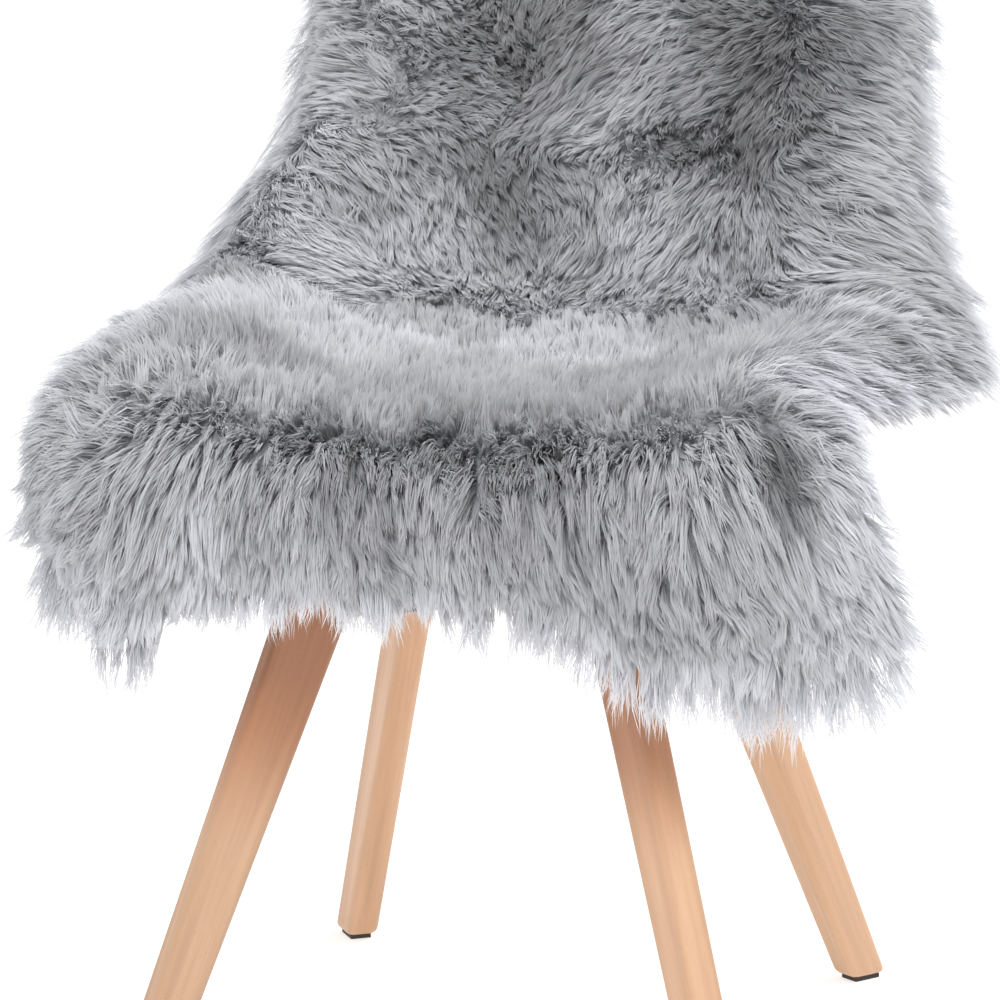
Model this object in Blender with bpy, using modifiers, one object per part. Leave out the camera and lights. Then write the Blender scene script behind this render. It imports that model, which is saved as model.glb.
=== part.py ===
"""A long-haired sheepskin rug draped over a moulded shell chair.

Metres, +Z up. The chair faces -Y, and the origin lies on the floor under the middle of the whole.
The hide is one sheet. It starts at the front hem, bends over the lip of the seat, crosses the seat,
climbs the back and falls over its top. A path in the plane x = 0 gives that long way, and a table
gives the hide's width, its dish and its fall at the sides for each place along the path.
The wool is a lumpy slab on the hide, with narrow strips of loose locks all round its rim.
"""
import math
import random

import bmesh
import bpy
import numpy as np
from mathutils import Matrix, Vector

# ---------------------------------------------------------------------------------------------
# Driving sizes, metres and degrees
# ---------------------------------------------------------------------------------------------
PLACE = (0.002, -0.033, 0.0)                # where the chair's own zero stands from the origin

# The hide's long way: sections from the front hem to the neck end, each an arc or a straight run.
PATH_START = (-0.216, 0.340)                # y and z of the lowest point the front flaps reach
PATH_SECTIONS = (
    # name, length, heading at its start, heading at its end (0 runs to the rear, 90 runs up)
    ("front_drop", 0.060, 90.0, 90.0),
    ("front_bend", 0.080, 90.0, -6.0),
    ("seat", 0.240, -6.0, 2.0),
    ("crease", 0.160, 2.0, 77.0),
    ("back", 0.250, 77.0, 75.0),
    ("top_bend", 0.062, 75.0, -86.0),
    ("rear_drop", 0.068, -86.0, -92.0),
)
PATH_STEP = 0.0005

# The hide across, at places along the path.
HIDE_ROWS = (
    # along, rim of the shell, left half, right half, dish, fall left, fall right, wool height
    (0.000, 0.205, 0.256, 0.302, 0.0, 22.0, 12.0, 0.036),
    (0.060, 0.208, 0.262, 0.298, 2.0, 20.0, 12.0, 0.042),
    (0.105, 0.212, 0.268, 0.280, 10.0, 14.0, 14.0, 0.045),
    (0.150, 0.216, 0.272, 0.254, 18.0, 4.0, 16.0, 0.047),
    (0.210, 0.220, 0.276, 0.244, 24.0, -4.0, 18.0, 0.048),
    (0.300, 0.224, 0.288, 0.262, 26.0, -4.0, 20.0, 0.048),
    (0.390, 0.226, 0.300, 0.284, 27.0, 2.0, 20.0, 0.045),
    (0.470, 0.222, 0.300, 0.284, 27.0, 14.0, 24.0, 0.041),
    (0.560, 0.205, 0.276, 0.248, 24.0, 28.0, 36.0, 0.040),
    (0.650, 0.184, 0.232, 0.220, 20.0, 42.0, 42.0, 0.040),
    (0.740, 0.180, 0.222, 0.214, 14.0, 44.0, 42.0, 0.041),
    (0.800, 0.165, 0.202, 0.196, 6.0, 34.0, 34.0, 0.042),
    (0.920, 0.120, 0.140, 0.140, 0.0, 14.0, 14.0, 0.038),
)
DISH_PEAK = 0.80                            # the dish is steepest at this share of the rim
DISH_CURVE = 1.5                            # how late the dish's slope sets in
FALL_DONE = 1.14                            # past this share of the rim the edge falls straight
USUAL_HALF = 0.25                           # a usual half width, to turn lengths into shares
ACROSS_STEPS = 24

# How far the front hem reaches below its middle, across the hide.
HEM_ROWS = (
    # across (-1 left edge, 1 right edge), reach
    (-1.00, 0.006),
    (-0.80, 0.042),
    (-0.60, 0.008),
    (-0.36, 0.000),
    (0.05, 0.002),
    (0.26, 0.008),
    (0.44, 0.031),
    (0.84, 0.041),
    (1.00, 0.028),
)
HEM_AT = 0.056                              # the hem's middle, along the path
HEM_FADE_AT = 0.240                         # the rows of the hide run straight from here on
NECK_AT = 0.915                             # the neck end's middle, along the path
NECK_FADE_AT = 0.800
NECK_ROUND = 0.040                          # how much shorter its corners are
FOLD_DEPTH = 0.008                          # soft upright folds in the front drop
FOLD_PITCH = 0.135
FOLD_TOP_AT = 0.120

# Wool
LUMPS = (
    # depth, pitch across, pitch along, turn of phase
    (0.0032, 0.090, 0.120, 0.4),
    (0.0026, 0.061, 0.074, 2.1),
    (0.0018, 0.037, 0.049, 4.4),
)
LUMP_SWIRL = 0.9                            # the lumps' rows bend to and fro by this phase
LUMP_SWIRL_PITCH = 0.31
LUMP_PHASE_ALONG = 1.7
RIM_TAPER = 0.62                            # wool height at the rim, as a share
RIM_TAPER_WIDTH = 0.045
RIM_LEAN = 0.55                             # how far the wool leans out at the rim
DROOP = 0.22                                # how far it hangs where the hide stands upright
STRIP_WIDTH = 0.009                         # at the hem and the neck end
STRIP_SHARE = 0.038                         # at the sides, as a share of the half width
STRIP_GAP = 0.0005
LOCK_PITCH = 0.0128
LOCK_LENGTH = 0.047
LOCK_UNEVEN = (0.84, 1.12)                  # shortest and longest, as shares of that length
LOCK_SWAY = 0.12                            # how far a lock turns aside
LOCK_WIDTH = 0.0120                         # along the rim
LOCK_HEIGHT = 0.0090
LOCK_SINK = 0.0034                          # how deep a lock's root stands in its strip
TUFT_GIRTHS = (1.0, 0.8, 0.0)               # at the root, the middle and the tip
LOCK_TIERS = (0.32, 0.68)                   # heights of the roots, as shares of the wool's height
LOCK_LIFT = 0.30                            # how far the locks stand off the hide
LOCK_HANG = 0.45                            # how far their tips fall
LOCK_END = 0.009                            # bare stretch at a strip's ends

# How the locks point, in degrees: 0 to the neck end, 90 to the right, 180 to the hem, -90 to the left.
HEM_TURNS = ((-1.0, -0.8, 0.8, 1.0), (214, 180, 180, 146))      # across, turn
NECK_TURNS = ((-1.0, -0.6, 0.6, 1.0), (-34, 0, 0, 34))
SIDE_TURNS = ((HEM_AT, 0.13, 0.80, NECK_AT), (112, 90, 90, 66))  # along, turn away from the middle

# The slab's grid, and the places along the path where one side strip ends and the next starts.
DROP_END = 0.118
SEAT_END = 0.380
CREASE_END = 0.545
BACK_END = 0.785
TOP_END = 0.906
COLUMNS = 24
ROW_RUNS = (
    # end of the run, rows in it
    (DROP_END, 4),
    (0.145, 2),
    (SEAT_END, 10),
    (CREASE_END, 8),
    (BACK_END, 11),
    (0.850, 5),
    (TOP_END, 3),
)
FRONT_BREAKS = (
    # name, last column of the slab's grid
    ("left", 5),
    ("middle", 16),
    ("right", 24),
)
SIDE_BREAKS = (
    # name, end along the path
    ("drop", DROP_END),
    ("seat", SEAT_END),
    ("crease", CREASE_END),
    ("back", BACK_END),
    ("top", TOP_END),
)
SAME_ROW = 1e-6
RIM_SAMPLES = 400                           # steps in which the rim is measured
SHARP_TURN = 50.0                           # edges that turn less are shaded round

# Chair
SHELL_CLEAR = 0.0032                        # hide to shell, near the shell's edges and in its bends
SHELL_TOUCH = 0.0008                        # where the hide lies on the shell
TOUCH_SHARE = (0.30, 0.70)                  # across: it lies inside the first and clears past the second
TOUCH_ROWS = (
    # along, 1 where the hide lies on the shell
    (0.150, 0.0),
    (0.200, 1.0),
    (0.340, 1.0),
    (0.400, 0.0),
    (0.560, 0.0),
    (0.610, 1.0),
    (0.730, 1.0),
    (0.770, 0.0),
)
SHELL_THICK = 0.008
SHELL_FRONT_AT = 0.095                      # the shell's ends, along the path
SHELL_TOP_AT = 0.792
SHELL_COLUMNS = 14
HUB = (0.0, -0.044)                         # where the four legs' planes cross
LEG_ROWS = (
    # name, foot x, foot y, top x, top y
    ("leg_front_left", -0.210, -0.219, -0.096, -0.122),
    ("leg_front_right", 0.210, -0.219, 0.096, -0.122),
    ("leg_back_left", -0.200, 0.227, -0.096, 0.084),
    ("leg_back_right", 0.200, 0.227, 0.096, 0.084),
)
LEG_TOP = 0.380
LEG_FOOT_DEPTH = 0.033                      # a leg's broad side, in its own upright plane
LEG_TOP_DEPTH = 0.053
LEG_FOOT_WIDTH = 0.0260
LEG_TOP_WIDTH = 0.0212
LEG_ROUND = 0.0062
LEG_ROUND_STEPS = 4
GLIDE_HEIGHT = 0.003
GLIDE_INSET = 0.005                         # a glide is this much smaller than the foot all round
SEAT_GAP = 0.0003                           # between pieces that touch
ARM_WIDTH = 0.020
ARM_BOTTOM = 0.332
ARM_TOP = 0.386
ARM_INNER = 0.010
ARM_GAP = 0.0004                            # level distance from an arm's end to its leg
PLATE_LAP = 0.002                           # how far the plate takes in the arms' tops
PLATE_SIZE = (0.170, 0.150)
PLATE_THICK = 0.005
BOSS_RADIUS = 0.013                         # four bosses carry the shell on the plate
BOSS_SIDES = 20
BOSS_SPREAD = (0.062, 0.052)
BOSS_SINK = 0.004                           # how far a boss stands into the shell


# ---------------------------------------------------------------------------------------------
# Curves and tables
# ---------------------------------------------------------------------------------------------
def smooth(low, high, value):
    """0 below low, 1 above high, with an eased step between."""
    share = np.clip((value - low) / (high - low), 0.0, 1.0)
    return share * share * (3.0 - 2.0 * share)


def through(rows, column, at):
    """A smooth curve through one column of a table, whose first column is the place."""
    places = np.array([row[0] for row in rows])
    values = np.array([row[column] for row in rows])
    slopes = np.gradient(values, places)
    at = np.clip(at, places[0], places[-1])
    low = np.clip(np.searchsorted(places, at) - 1, 0, len(places) - 2)
    span = places[low + 1] - places[low]
    t = (at - places[low]) / span
    start = (2 * t**3 - 3 * t**2 + 1) * values[low] + (t**3 - 2 * t**2 + t) * span * slopes[low]
    end = (3 * t**2 - 2 * t**3) * values[low + 1] + (t**3 - t**2) * span * slopes[low + 1]
    return start + end


def walk_path():
    """Walk the sections in small steps: place along, y, z and heading at each step."""
    along, y, z = [0.0], [PATH_START[0]], [PATH_START[1]]
    heading = [math.radians(PATH_SECTIONS[0][2])]
    for _, length, first, last in PATH_SECTIONS:
        steps = round(length / PATH_STEP)
        for step in range(steps):
            turn = math.radians(first + (last - first) * (step + 0.5) / steps)
            along.append(along[-1] + PATH_STEP)
            y.append(y[-1] + PATH_STEP * math.cos(turn))
            z.append(z[-1] + PATH_STEP * math.sin(turn))
            heading.append(turn)
    return np.array(along), np.array(y), np.array(z), np.array(heading)


PATH = walk_path()


def path_at(along):
    """Point on the path, and the unit vector that stands off the hide towards the sitter."""
    y = np.interp(along, PATH[0], PATH[1])
    z = np.interp(along, PATH[0], PATH[2])
    turn = np.interp(along, PATH[0], PATH[3])
    point = np.stack((np.zeros_like(y), y, z), axis=-1)
    off = np.stack((np.zeros_like(y), -np.sin(turn), np.cos(turn)), axis=-1)
    return point, off


# ---------------------------------------------------------------------------------------------
# The hide as a surface
# ---------------------------------------------------------------------------------------------
def across_at(arc, along):
    """Sideways place and rise of a point that lies arc from the middle, on the hide's section."""
    side = np.sign(arc)
    rim = through(HIDE_ROWS, 1, along)
    dish = np.radians(through(HIDE_ROWS, 4, along))
    fall_left = np.radians(through(HIDE_ROWS, 5, along))
    fall_right = np.radians(through(HIDE_ROWS, 6, along))
    fall = np.where(arc < 0.0, fall_left, fall_right)
    step = np.abs(arc) / ACROSS_STEPS
    sideways = np.zeros_like(arc)
    rise = np.zeros_like(arc)
    for k in range(ACROSS_STEPS):
        share = (k + 0.5) * step / rim
        over = smooth(DISH_PEAK, FALL_DONE, share)
        slope = dish * np.minimum(share / DISH_PEAK, 1.0) ** DISH_CURVE * (1.0 - over) - fall * over
        sideways += step * np.cos(slope)
        rise += step * np.sin(slope)
    return side * sideways, rise


def along_at(u, row):
    """Place along the path of a point of the hide: the first rows follow the hem, the last the neck."""
    hem = through(HEM_ROWS, 1, u) * (1.0 - smooth(HEM_AT, HEM_FADE_AT, row))
    neck = NECK_ROUND * u**2 * smooth(NECK_FADE_AT, NECK_AT, row)
    return row - hem - neck


def half_width(u, along):
    """The hide's half width on the side of u."""
    return np.where(u < 0.0, through(HIDE_ROWS, 2, along), through(HIDE_ROWS, 3, along))


def hide_at(u, row):
    """Points of the hide's underside. u runs -1 to 1 across, and row along in metres."""
    along = along_at(u, row)
    arc = u * half_width(u, along)
    sideways, rise = across_at(arc, along)
    wave = 0.5 - 0.5 * np.cos(2.0 * math.pi * arc / FOLD_PITCH)
    rise = rise + FOLD_DEPTH * wave * (1.0 - smooth(HEM_AT, FOLD_TOP_AT, along))
    point, off = path_at(along)
    point = point + off * rise[..., None]
    point[..., 0] += sideways
    return point


def unit(vectors):
    """The vectors at length 1."""
    return vectors / np.linalg.norm(vectors, axis=-1, keepdims=True)


def frame_at(surface, u, row, reach=0.002):
    """Directions across, along and off a surface, by small differences."""
    du = reach / USUAL_HALF
    across = unit(surface(u + du, row) - surface(u - du, row))
    along = unit(surface(u, row + reach) - surface(u, row - reach))
    return across, along, unit(np.cross(across, along))


def wool_at(u, row):
    """Points of the wool's outer face over the hide."""
    across, along, off = frame_at(hide_at, u, row)
    place = along_at(u, row)
    width = half_width(u, place)
    to_side = (1.0 - np.abs(u)) * width
    near_side = 1.0 - smooth(0.0, RIM_TAPER_WIDTH, to_side)
    near_hem = 1.0 - smooth(0.0, RIM_TAPER_WIDTH, row - HEM_AT)
    near_neck = 1.0 - smooth(0.0, RIM_TAPER_WIDTH, NECK_AT - row)
    near_rim = np.maximum(near_side, np.maximum(near_hem, near_neck))
    outward = across * (np.sign(u) * near_side)[..., None] + along * (near_neck - near_hem)[..., None]
    height = through(HIDE_ROWS, 7, place) * (1.0 - (1.0 - RIM_TAPER) * near_rim)
    for depth, pitch_across, pitch_along, phase in LUMPS:
        swirl = LUMP_SWIRL * np.sin(2.0 * math.pi * row / LUMP_SWIRL_PITCH + phase)
        height = height + depth * (
            np.sin(2.0 * math.pi * u * width / pitch_across + phase + swirl)
            * np.cos(2.0 * math.pi * row / pitch_along + LUMP_PHASE_ALONG * phase)
        )
    down = np.zeros_like(off)
    down[..., 2] = -DROOP * (1.0 - np.abs(off[..., 2]))
    lean = unit(off + RIM_LEAN * outward + down)
    return hide_at(u, row) + lean * height[..., None]


def shell_at(u, row):
    """Points of the chair shell's upper face: just under the hide in its middle, clear of it elsewhere."""

    def bare(u, row):
        arc = u * through(HIDE_ROWS, 1, row)
        sideways, rise = across_at(arc, row)
        point, off = path_at(row)
        point = point + off * rise[..., None]
        point[..., 0] += sideways
        return point

    _, _, off = frame_at(bare, u, row)
    touch = np.interp(row, *zip(*TOUCH_ROWS)) * (1.0 - smooth(*TOUCH_SHARE, np.abs(u)))
    clear = SHELL_CLEAR + (SHELL_TOUCH - SHELL_CLEAR) * touch
    return bare(u, row) - off * clear[..., None]


# ---------------------------------------------------------------------------------------------
# Scene, materials and small mesh helpers
# ---------------------------------------------------------------------------------------------
def clear_scene():
    """Start from an empty scene."""
    for thing in list(bpy.data.objects):
        bpy.data.objects.remove(thing, do_unlink=True)


def new_collection(name):
    """A collection in the scene."""
    collection = bpy.data.collections.new(name)
    bpy.context.scene.collection.children.link(collection)
    return collection


def new_material(name, colour, roughness, metallic=0.0):
    """A plain finish."""
    material = bpy.data.materials.new(name)
    material.use_nodes = True
    shader = material.node_tree.nodes["Principled BSDF"]
    shader.inputs["Base Color"].default_value = (*colour, 1.0)
    shader.inputs["Roughness"].default_value = roughness
    shader.inputs["Metallic"].default_value = metallic
    material.diffuse_color = (*colour, 1.0)
    return material


def add_object(name, mesh, collection, material):
    """A named object for a mesh, with its finish."""
    thing = bpy.data.objects.new(name, mesh)
    mesh.materials.append(material)
    collection.objects.link(thing)
    return thing


def finish_mesh(shape, name):
    """Turn the faces outwards and make a mesh of the bmesh."""
    bmesh.ops.recalc_face_normals(shape, faces=shape.faces)
    mesh = bpy.data.meshes.new(name)
    shape.to_mesh(mesh)
    shape.free()
    return mesh


def add_boolean(target, cutter, operation):
    """A live Boolean with the exact solver."""
    boolean = target.modifiers.new(operation.lower(), "BOOLEAN")
    boolean.object = cutter
    boolean.operation = operation
    boolean.solver = "EXACT"


def add_bevel(target, width, segments):
    """Rounded edges."""
    bevel = target.modifiers.new("round", "BEVEL")
    bevel.width = width
    bevel.segments = segments
    bevel.limit_method = "ANGLE"


# ---------------------------------------------------------------------------------------------
# Wool slab and strips
# ---------------------------------------------------------------------------------------------
def grid_points(shape, u_lines, row_lines):
    """A grid in the bmesh, and the u and row that each of its points stands for."""
    bmesh.ops.create_grid(shape, x_segments=len(u_lines) - 1, y_segments=len(row_lines) - 1, size=0.5)
    columns = [round((v.co.x + 0.5) * (len(u_lines) - 1)) for v in shape.verts]
    rows = [round((v.co.y + 0.5) * (len(row_lines) - 1)) for v in shape.verts]
    return np.array(u_lines)[columns], np.array(row_lines)[rows]


def wool_block(name, u_lines, row_lines, back=(0, 0, 0, 0)):
    """One closed block of the wool, from the hide's underside to the wool's outer face.

    back says which walls stand a gap behind their line: low u, high u, low row and high row.
    """
    shape = bmesh.new()
    u, row = grid_points(shape, u_lines, row_lines)
    across, along, _ = frame_at(hide_at, u, row)
    inward = across * ((u == u_lines[0]) * back[0] - (u == u_lines[-1]) * back[1])[:, None]
    inward += along * ((row == row_lines[0]) * back[2] - (row == row_lines[-1]) * back[3])[:, None]
    under = list(shape.verts)
    under_points = hide_at(u, row) + inward * STRIP_GAP
    outer_points = wool_at(u, row) + inward * STRIP_GAP
    raised = bmesh.ops.extrude_face_region(shape, geom=shape.faces[:])
    outer = [item for item in raised["geom"] if isinstance(item, bmesh.types.BMVert)]
    partner = pair_by_place(under, outer)
    order = {}
    for number, vert in enumerate(under):
        order[vert] = (0, u[number], row[number])
        order[partner[number]] = (1, u[number], row[number])
        vert.co = under_points[number]
        partner[number].co = outer_points[number]
    split_walls(shape, order)
    bmesh.ops.triangulate(shape, faces=shape.faces[:])
    return finish_mesh(shape, name)


def pair_by_place(first, second):
    """For each point of the first list, the one of the second that lies on the same spot."""
    spot = {(round(v.co.x, 5), round(v.co.y, 5)): v for v in second}
    return [spot[(round(v.co.x, 5), round(v.co.y, 5))] for v in first]


def split_walls(shape, order):
    """Split each wall face the same way, so that the walls of neighbour blocks stay parallel."""
    for face in shape.faces[:]:
        layers = {order[v][0] for v in face.verts}
        if layers != {0, 1}:
            continue
        low = min((v for v in face.verts if order[v][0] == 0), key=lambda v: order[v][1:])
        high = max((v for v in face.verts if order[v][0] == 1), key=lambda v: order[v][1:])
        bmesh.utils.face_split(face, low, high)


def tuft(shape, centres, side, off):
    """One pointed tuft: a three-cornered root, a middle ring and a tip, along bent centres."""
    ring = bmesh.ops.create_circle(shape, cap_ends=True, segments=3, radius=1.0)["verts"]
    face = ring[0].link_faces[0]
    for number, (centre, girth) in enumerate(zip(centres, TUFT_GIRTHS)):
        if number:
            raised = bmesh.ops.extrude_face_region(shape, geom=[face])["geom"]
            if number > 1:
                bmesh.ops.delete(shape, geom=[face], context="FACES_ONLY")
            face = next(item for item in raised if isinstance(item, bmesh.types.BMFace))
        corners = [loop.vert for loop in face.loops]
        for corner, vert in enumerate(corners):
            turn = 2.0 * math.pi * corner / len(corners) + math.pi / 2.0
            vert.co = centre + (side * math.cos(turn) + off * math.sin(turn)) * girth
        if girth == 0.0:
            bmesh.ops.pointmerge(shape, verts=corners, merge_co=centre)


def lock_frames(u, row, turn, at_side):
    """Directions for locks at places on the rim: outward, sideways along the rim, and off the hide."""
    across, along, off = frame_at(hide_at, u, row)
    if at_side:
        across = np.cross(along, off)
    else:
        along = np.cross(off, across)
    outward = across * np.sin(turn)[:, None] + along * np.cos(turn)[:, None]
    return outward, np.cross(off, outward), off


def lock_mesh(name, u, row, turn, at_side):
    """The locks of one strip, with the way that each one points."""
    chance = random.Random(name)
    shape = bmesh.new()
    under, outer = hide_at(u, row), wool_at(u, row)
    outward, side, off = lock_frames(u, row, turn, at_side)
    for number in range(len(u)):
        tier = LOCK_TIERS[number % len(LOCK_TIERS)]
        point_out = Vector(outward[number])
        lift = Vector(off[number])
        root = Vector(under[number]).lerp(Vector(outer[number]), tier)
        length = LOCK_LENGTH * chance.uniform(*LOCK_UNEVEN)
        sway = Vector(side[number]) * chance.uniform(-LOCK_SWAY, LOCK_SWAY)
        ahead = (point_out + lift * LOCK_LIFT + sway).normalized()
        fallen = (ahead + Vector((0.0, 0.0, -LOCK_HANG))).normalized()
        centres = (
            root - point_out * LOCK_SINK,
            root + (ahead + fallen).normalized() * (0.5 * length),
            root + fallen * length,
        )
        tuft(shape, centres, Vector(side[number]) * (LOCK_WIDTH / 2.0), lift * (LOCK_HEIGHT / 2.0))
    return finish_mesh(shape, name)


def spaced(fixed, low, high, across):
    """Values from low to high whose points on the rim, half way up the wool, lie a pitch apart."""
    fine = np.linspace(low, high, RIM_SAMPLES)
    still = np.full_like(fine, fixed)
    place = (fine, still) if across else (still, fine)
    points = (hide_at(*place) + wool_at(*place)) / 2.0
    steps = np.linalg.norm(np.diff(points, axis=0), axis=1)
    walked = np.concatenate(([0.0], np.cumsum(steps)))
    count = int((walked[-1] - 2.0 * LOCK_END) / LOCK_PITCH) + 1
    spare = (walked[-1] - (count - 1) * LOCK_PITCH) / 2.0
    return np.interp(spare + LOCK_PITCH * np.arange(count), walked, fine)


def grid_lines():
    """The slab's columns across and its rows along."""
    edge = 1.0 - STRIP_SHARE
    rows = [HEM_AT + STRIP_WIDTH]
    for end, count in ROW_RUNS:
        rows.extend(np.linspace(rows[-1], end, count + 1)[1:])
    return list(np.linspace(-edge, edge, COLUMNS + 1)), [float(row) for row in rows]


COLUMN_LINES, ROW_LINES = grid_lines()


def strip_zones():
    """Each strip's name, columns, rows, walls set back, rim, and how its locks turn along that rim."""
    whole = [-1.0, *COLUMN_LINES, 1.0]
    hem_rows = [HEM_AT, ROW_LINES[0]]
    neck_rows = [ROW_LINES[-1], NECK_AT]
    first = 0
    for zone, end in FRONT_BREAKS:
        last = end + 1 if end < COLUMNS else end + 2
        back = (0, int(end < COLUMNS), 0, 1)
        yield f"locks_front_{zone}", whole[first:last + 1], hem_rows, back, None, HEM_AT, HEM_TURNS
        first = last
    yield "locks_neck", whole, neck_rows, (0, 0, 1, 0), None, NECK_AT, NECK_TURNS
    for side, name in ((-1.0, "left"), (1.0, "right")):
        columns = sorted((side * (1.0 - STRIP_SHARE), side))
        start = ROW_LINES[0]
        turns = (SIDE_TURNS[0], [side * turn for turn in SIDE_TURNS[1]])
        for zone, end in SIDE_BREAKS:
            rows = [row for row in ROW_LINES if start - SAME_ROW <= row <= end + SAME_ROW]
            back = (int(side > 0.0), int(side < 0.0), 0, int(zone != SIDE_BREAKS[-1][0]))
            yield f"locks_{zone}_{name}", columns, rows, back, side, None, turns
            start = end


# ---------------------------------------------------------------------------------------------
# Chair pieces
# ---------------------------------------------------------------------------------------------
def shell_mesh():
    """The shell's upper face, an open grid that Solidify makes a wall."""
    shape = bmesh.new()
    u_lines = np.linspace(-1.0, 1.0, SHELL_COLUMNS + 1)
    row_lines = [row for row in ROW_LINES if SHELL_FRONT_AT < row < SHELL_TOP_AT]
    row_lines = [SHELL_FRONT_AT] + row_lines + [SHELL_TOP_AT]
    u, row = grid_points(shape, u_lines, row_lines)
    for vert, point in zip(shape.verts, shell_at(u, row)):
        vert.co = point
    shape.normal_update()
    mesh = bpy.data.meshes.new("seat_shell")
    shape.to_mesh(mesh)
    shape.free()
    return mesh


def shell_under(x, y):
    """Height of the shell's underside over a place of the seat."""
    seat = (PATH[0] > SHELL_FRONT_AT) & (PATH[0] < SEAT_END)
    row = np.interp(y, PATH[1][seat], PATH[0][seat])
    u = x / through(HIDE_ROWS, 1, row)
    return float(shell_at(np.array([u]), np.array([row]))[0][2]) - SHELL_THICK


def block_mesh(name, corners):
    """A six-sided block. corners gives x low, x high, y low and y high, at the bottom and at the top."""
    shape = bmesh.new()
    bmesh.ops.create_cube(shape, size=2.0)
    for vert in shape.verts:
        x_low, x_high, y_low, y_high, z = corners[vert.co.z > 0.0]
        vert.co = Vector((x_high if vert.co.x > 0.0 else x_low, y_high if vert.co.y > 0.0 else y_low, z))
    return finish_mesh(shape, name)


def boss_mesh(bottom, top):
    """An upright round bar."""
    shape = bmesh.new()
    bmesh.ops.create_cone(
        shape, cap_ends=True, segments=BOSS_SIDES, radius1=BOSS_RADIUS, radius2=BOSS_RADIUS,
        depth=top - bottom, matrix=Matrix.Translation((0.0, 0.0, (top + bottom) / 2.0)),
    )
    return finish_mesh(shape, "boss")


def leg_plane(foot_x, foot_y, top_x, top_y):
    """Turn about Z of the leg's upright plane, and its run outwards from the hub at foot and top."""
    turn = math.atan2(foot_y - HUB[1], foot_x - HUB[0])
    foot_run = math.hypot(foot_x - HUB[0], foot_y - HUB[1])
    top_run = math.hypot(top_x - HUB[0], top_y - HUB[1])
    return turn, foot_run, top_run


def leg_run(share, foot, top):
    """A leg's value at a share of its height."""
    return foot + (top - foot) * share


def add_leg(name, foot_x, foot_y, top_x, top_y):
    """A leg, its glide and the underframe's arm towards it, all in the leg's own upright plane."""
    turn, foot_run, top_run = leg_plane(foot_x, foot_y, top_x, top_y)
    foot_z = GLIDE_HEIGHT + SEAT_GAP
    foot_half = LEG_FOOT_DEPTH / 2.0
    top_half = LEG_TOP_DEPTH / 2.0
    leg = block_mesh(name, (
        (foot_run - foot_half, foot_run + foot_half, -LEG_FOOT_WIDTH / 2.0, LEG_FOOT_WIDTH / 2.0, foot_z),
        (top_run - top_half, top_run + top_half, -LEG_TOP_WIDTH / 2.0, LEG_TOP_WIDTH / 2.0, LEG_TOP),
    ))
    glide_half = foot_half - GLIDE_INSET
    glide_side = LEG_FOOT_WIDTH / 2.0 - GLIDE_INSET
    outline = (foot_run - glide_half, foot_run + glide_half, -glide_side, glide_side)
    glide = block_mesh(f"glide_{name[4:]}", ((*outline, 0.0), (*outline, GLIDE_HEIGHT)))
    ends = []
    for z in (ARM_BOTTOM, ARM_TOP):
        share = (z - foot_z) / (LEG_TOP - foot_z)
        inner_face = leg_run(share, foot_run, top_run) - leg_run(share, foot_half, top_half)
        ends.append((ARM_INNER, inner_face - ARM_GAP, -ARM_WIDTH / 2.0, ARM_WIDTH / 2.0, z))
    arm = block_mesh(f"arm_{name[4:]}", ends)
    made = (
        add_object(name, leg, parts, wood),
        add_object(f"glide_{name[4:]}", glide, parts, glide_finish),
        add_object(f"arm_{name[4:]}", arm, cutters, metal),
    )
    for thing in made:
        stand(thing, (HUB[0], HUB[1], 0.0), turn)
    add_bevel(made[0], LEG_ROUND, LEG_ROUND_STEPS)
    return made[2]


def stand(thing, place=(0.0, 0.0, 0.0), turn=0.0):
    """Place an object in the chair's frame."""
    thing.parent = chair
    thing.location = place
    thing.rotation_euler = (0.0, 0.0, turn)


def as_cutter(thing):
    """Leave a helper out of the picture."""
    thing.hide_render = True
    thing.display_type = "WIRE"


# ---------------------------------------------------------------------------------------------
# Build
# ---------------------------------------------------------------------------------------------
clear_scene()
parts = new_collection("sheepskin_rug_on_chair")
cutters = new_collection("cutters")
chair = bpy.data.objects.new("chair", None)
chair.location = PLACE
parts.objects.link(chair)

wool = new_material("grey_wool", (0.42, 0.43, 0.46), 0.95)
shell_finish = new_material("moulded_shell", (0.80, 0.80, 0.79), 0.45)
wood = new_material("beech", (0.76, 0.53, 0.36), 0.50)
metal = new_material("dark_metal", (0.05, 0.05, 0.055), 0.40, 0.8)
glide_finish = new_material("glide", (0.06, 0.05, 0.05), 0.60)

# Wool: the slab over the hide, then the strips of loose locks round its rim.
slab = add_object("sheepskin", wool_block("sheepskin", COLUMN_LINES, ROW_LINES), parts, wool)
slab.data.shade_smooth()
slab.data.set_sharp_from_angle(angle=math.radians(SHARP_TURN))
stand(slab)

for name, u_lines, row_lines, back, u_fixed, row_fixed, turns in strip_zones():
    strip = add_object(name, wool_block(name, u_lines, row_lines, back), parts, wool)
    if row_fixed is None:
        edge_row = spaced(u_fixed, row_lines[0], row_lines[-1], across=False)
        edge_u = np.full_like(edge_row, u_fixed)
        turn = np.radians(np.interp(edge_row, *turns))
    else:
        edge_u = spaced(row_fixed, u_lines[0], u_lines[-1], across=True)
        edge_row = np.full_like(edge_u, row_fixed)
        turn = np.radians(np.interp(edge_u, *turns))
    tufts = lock_mesh(f"{name}_tufts", edge_u, edge_row, turn, row_fixed is None)
    locks = add_object(f"{name}_tufts", tufts, cutters, wool)
    for thing in (strip, locks):
        stand(thing)
    as_cutter(locks)
    add_boolean(strip, locks, "UNION")

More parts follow.
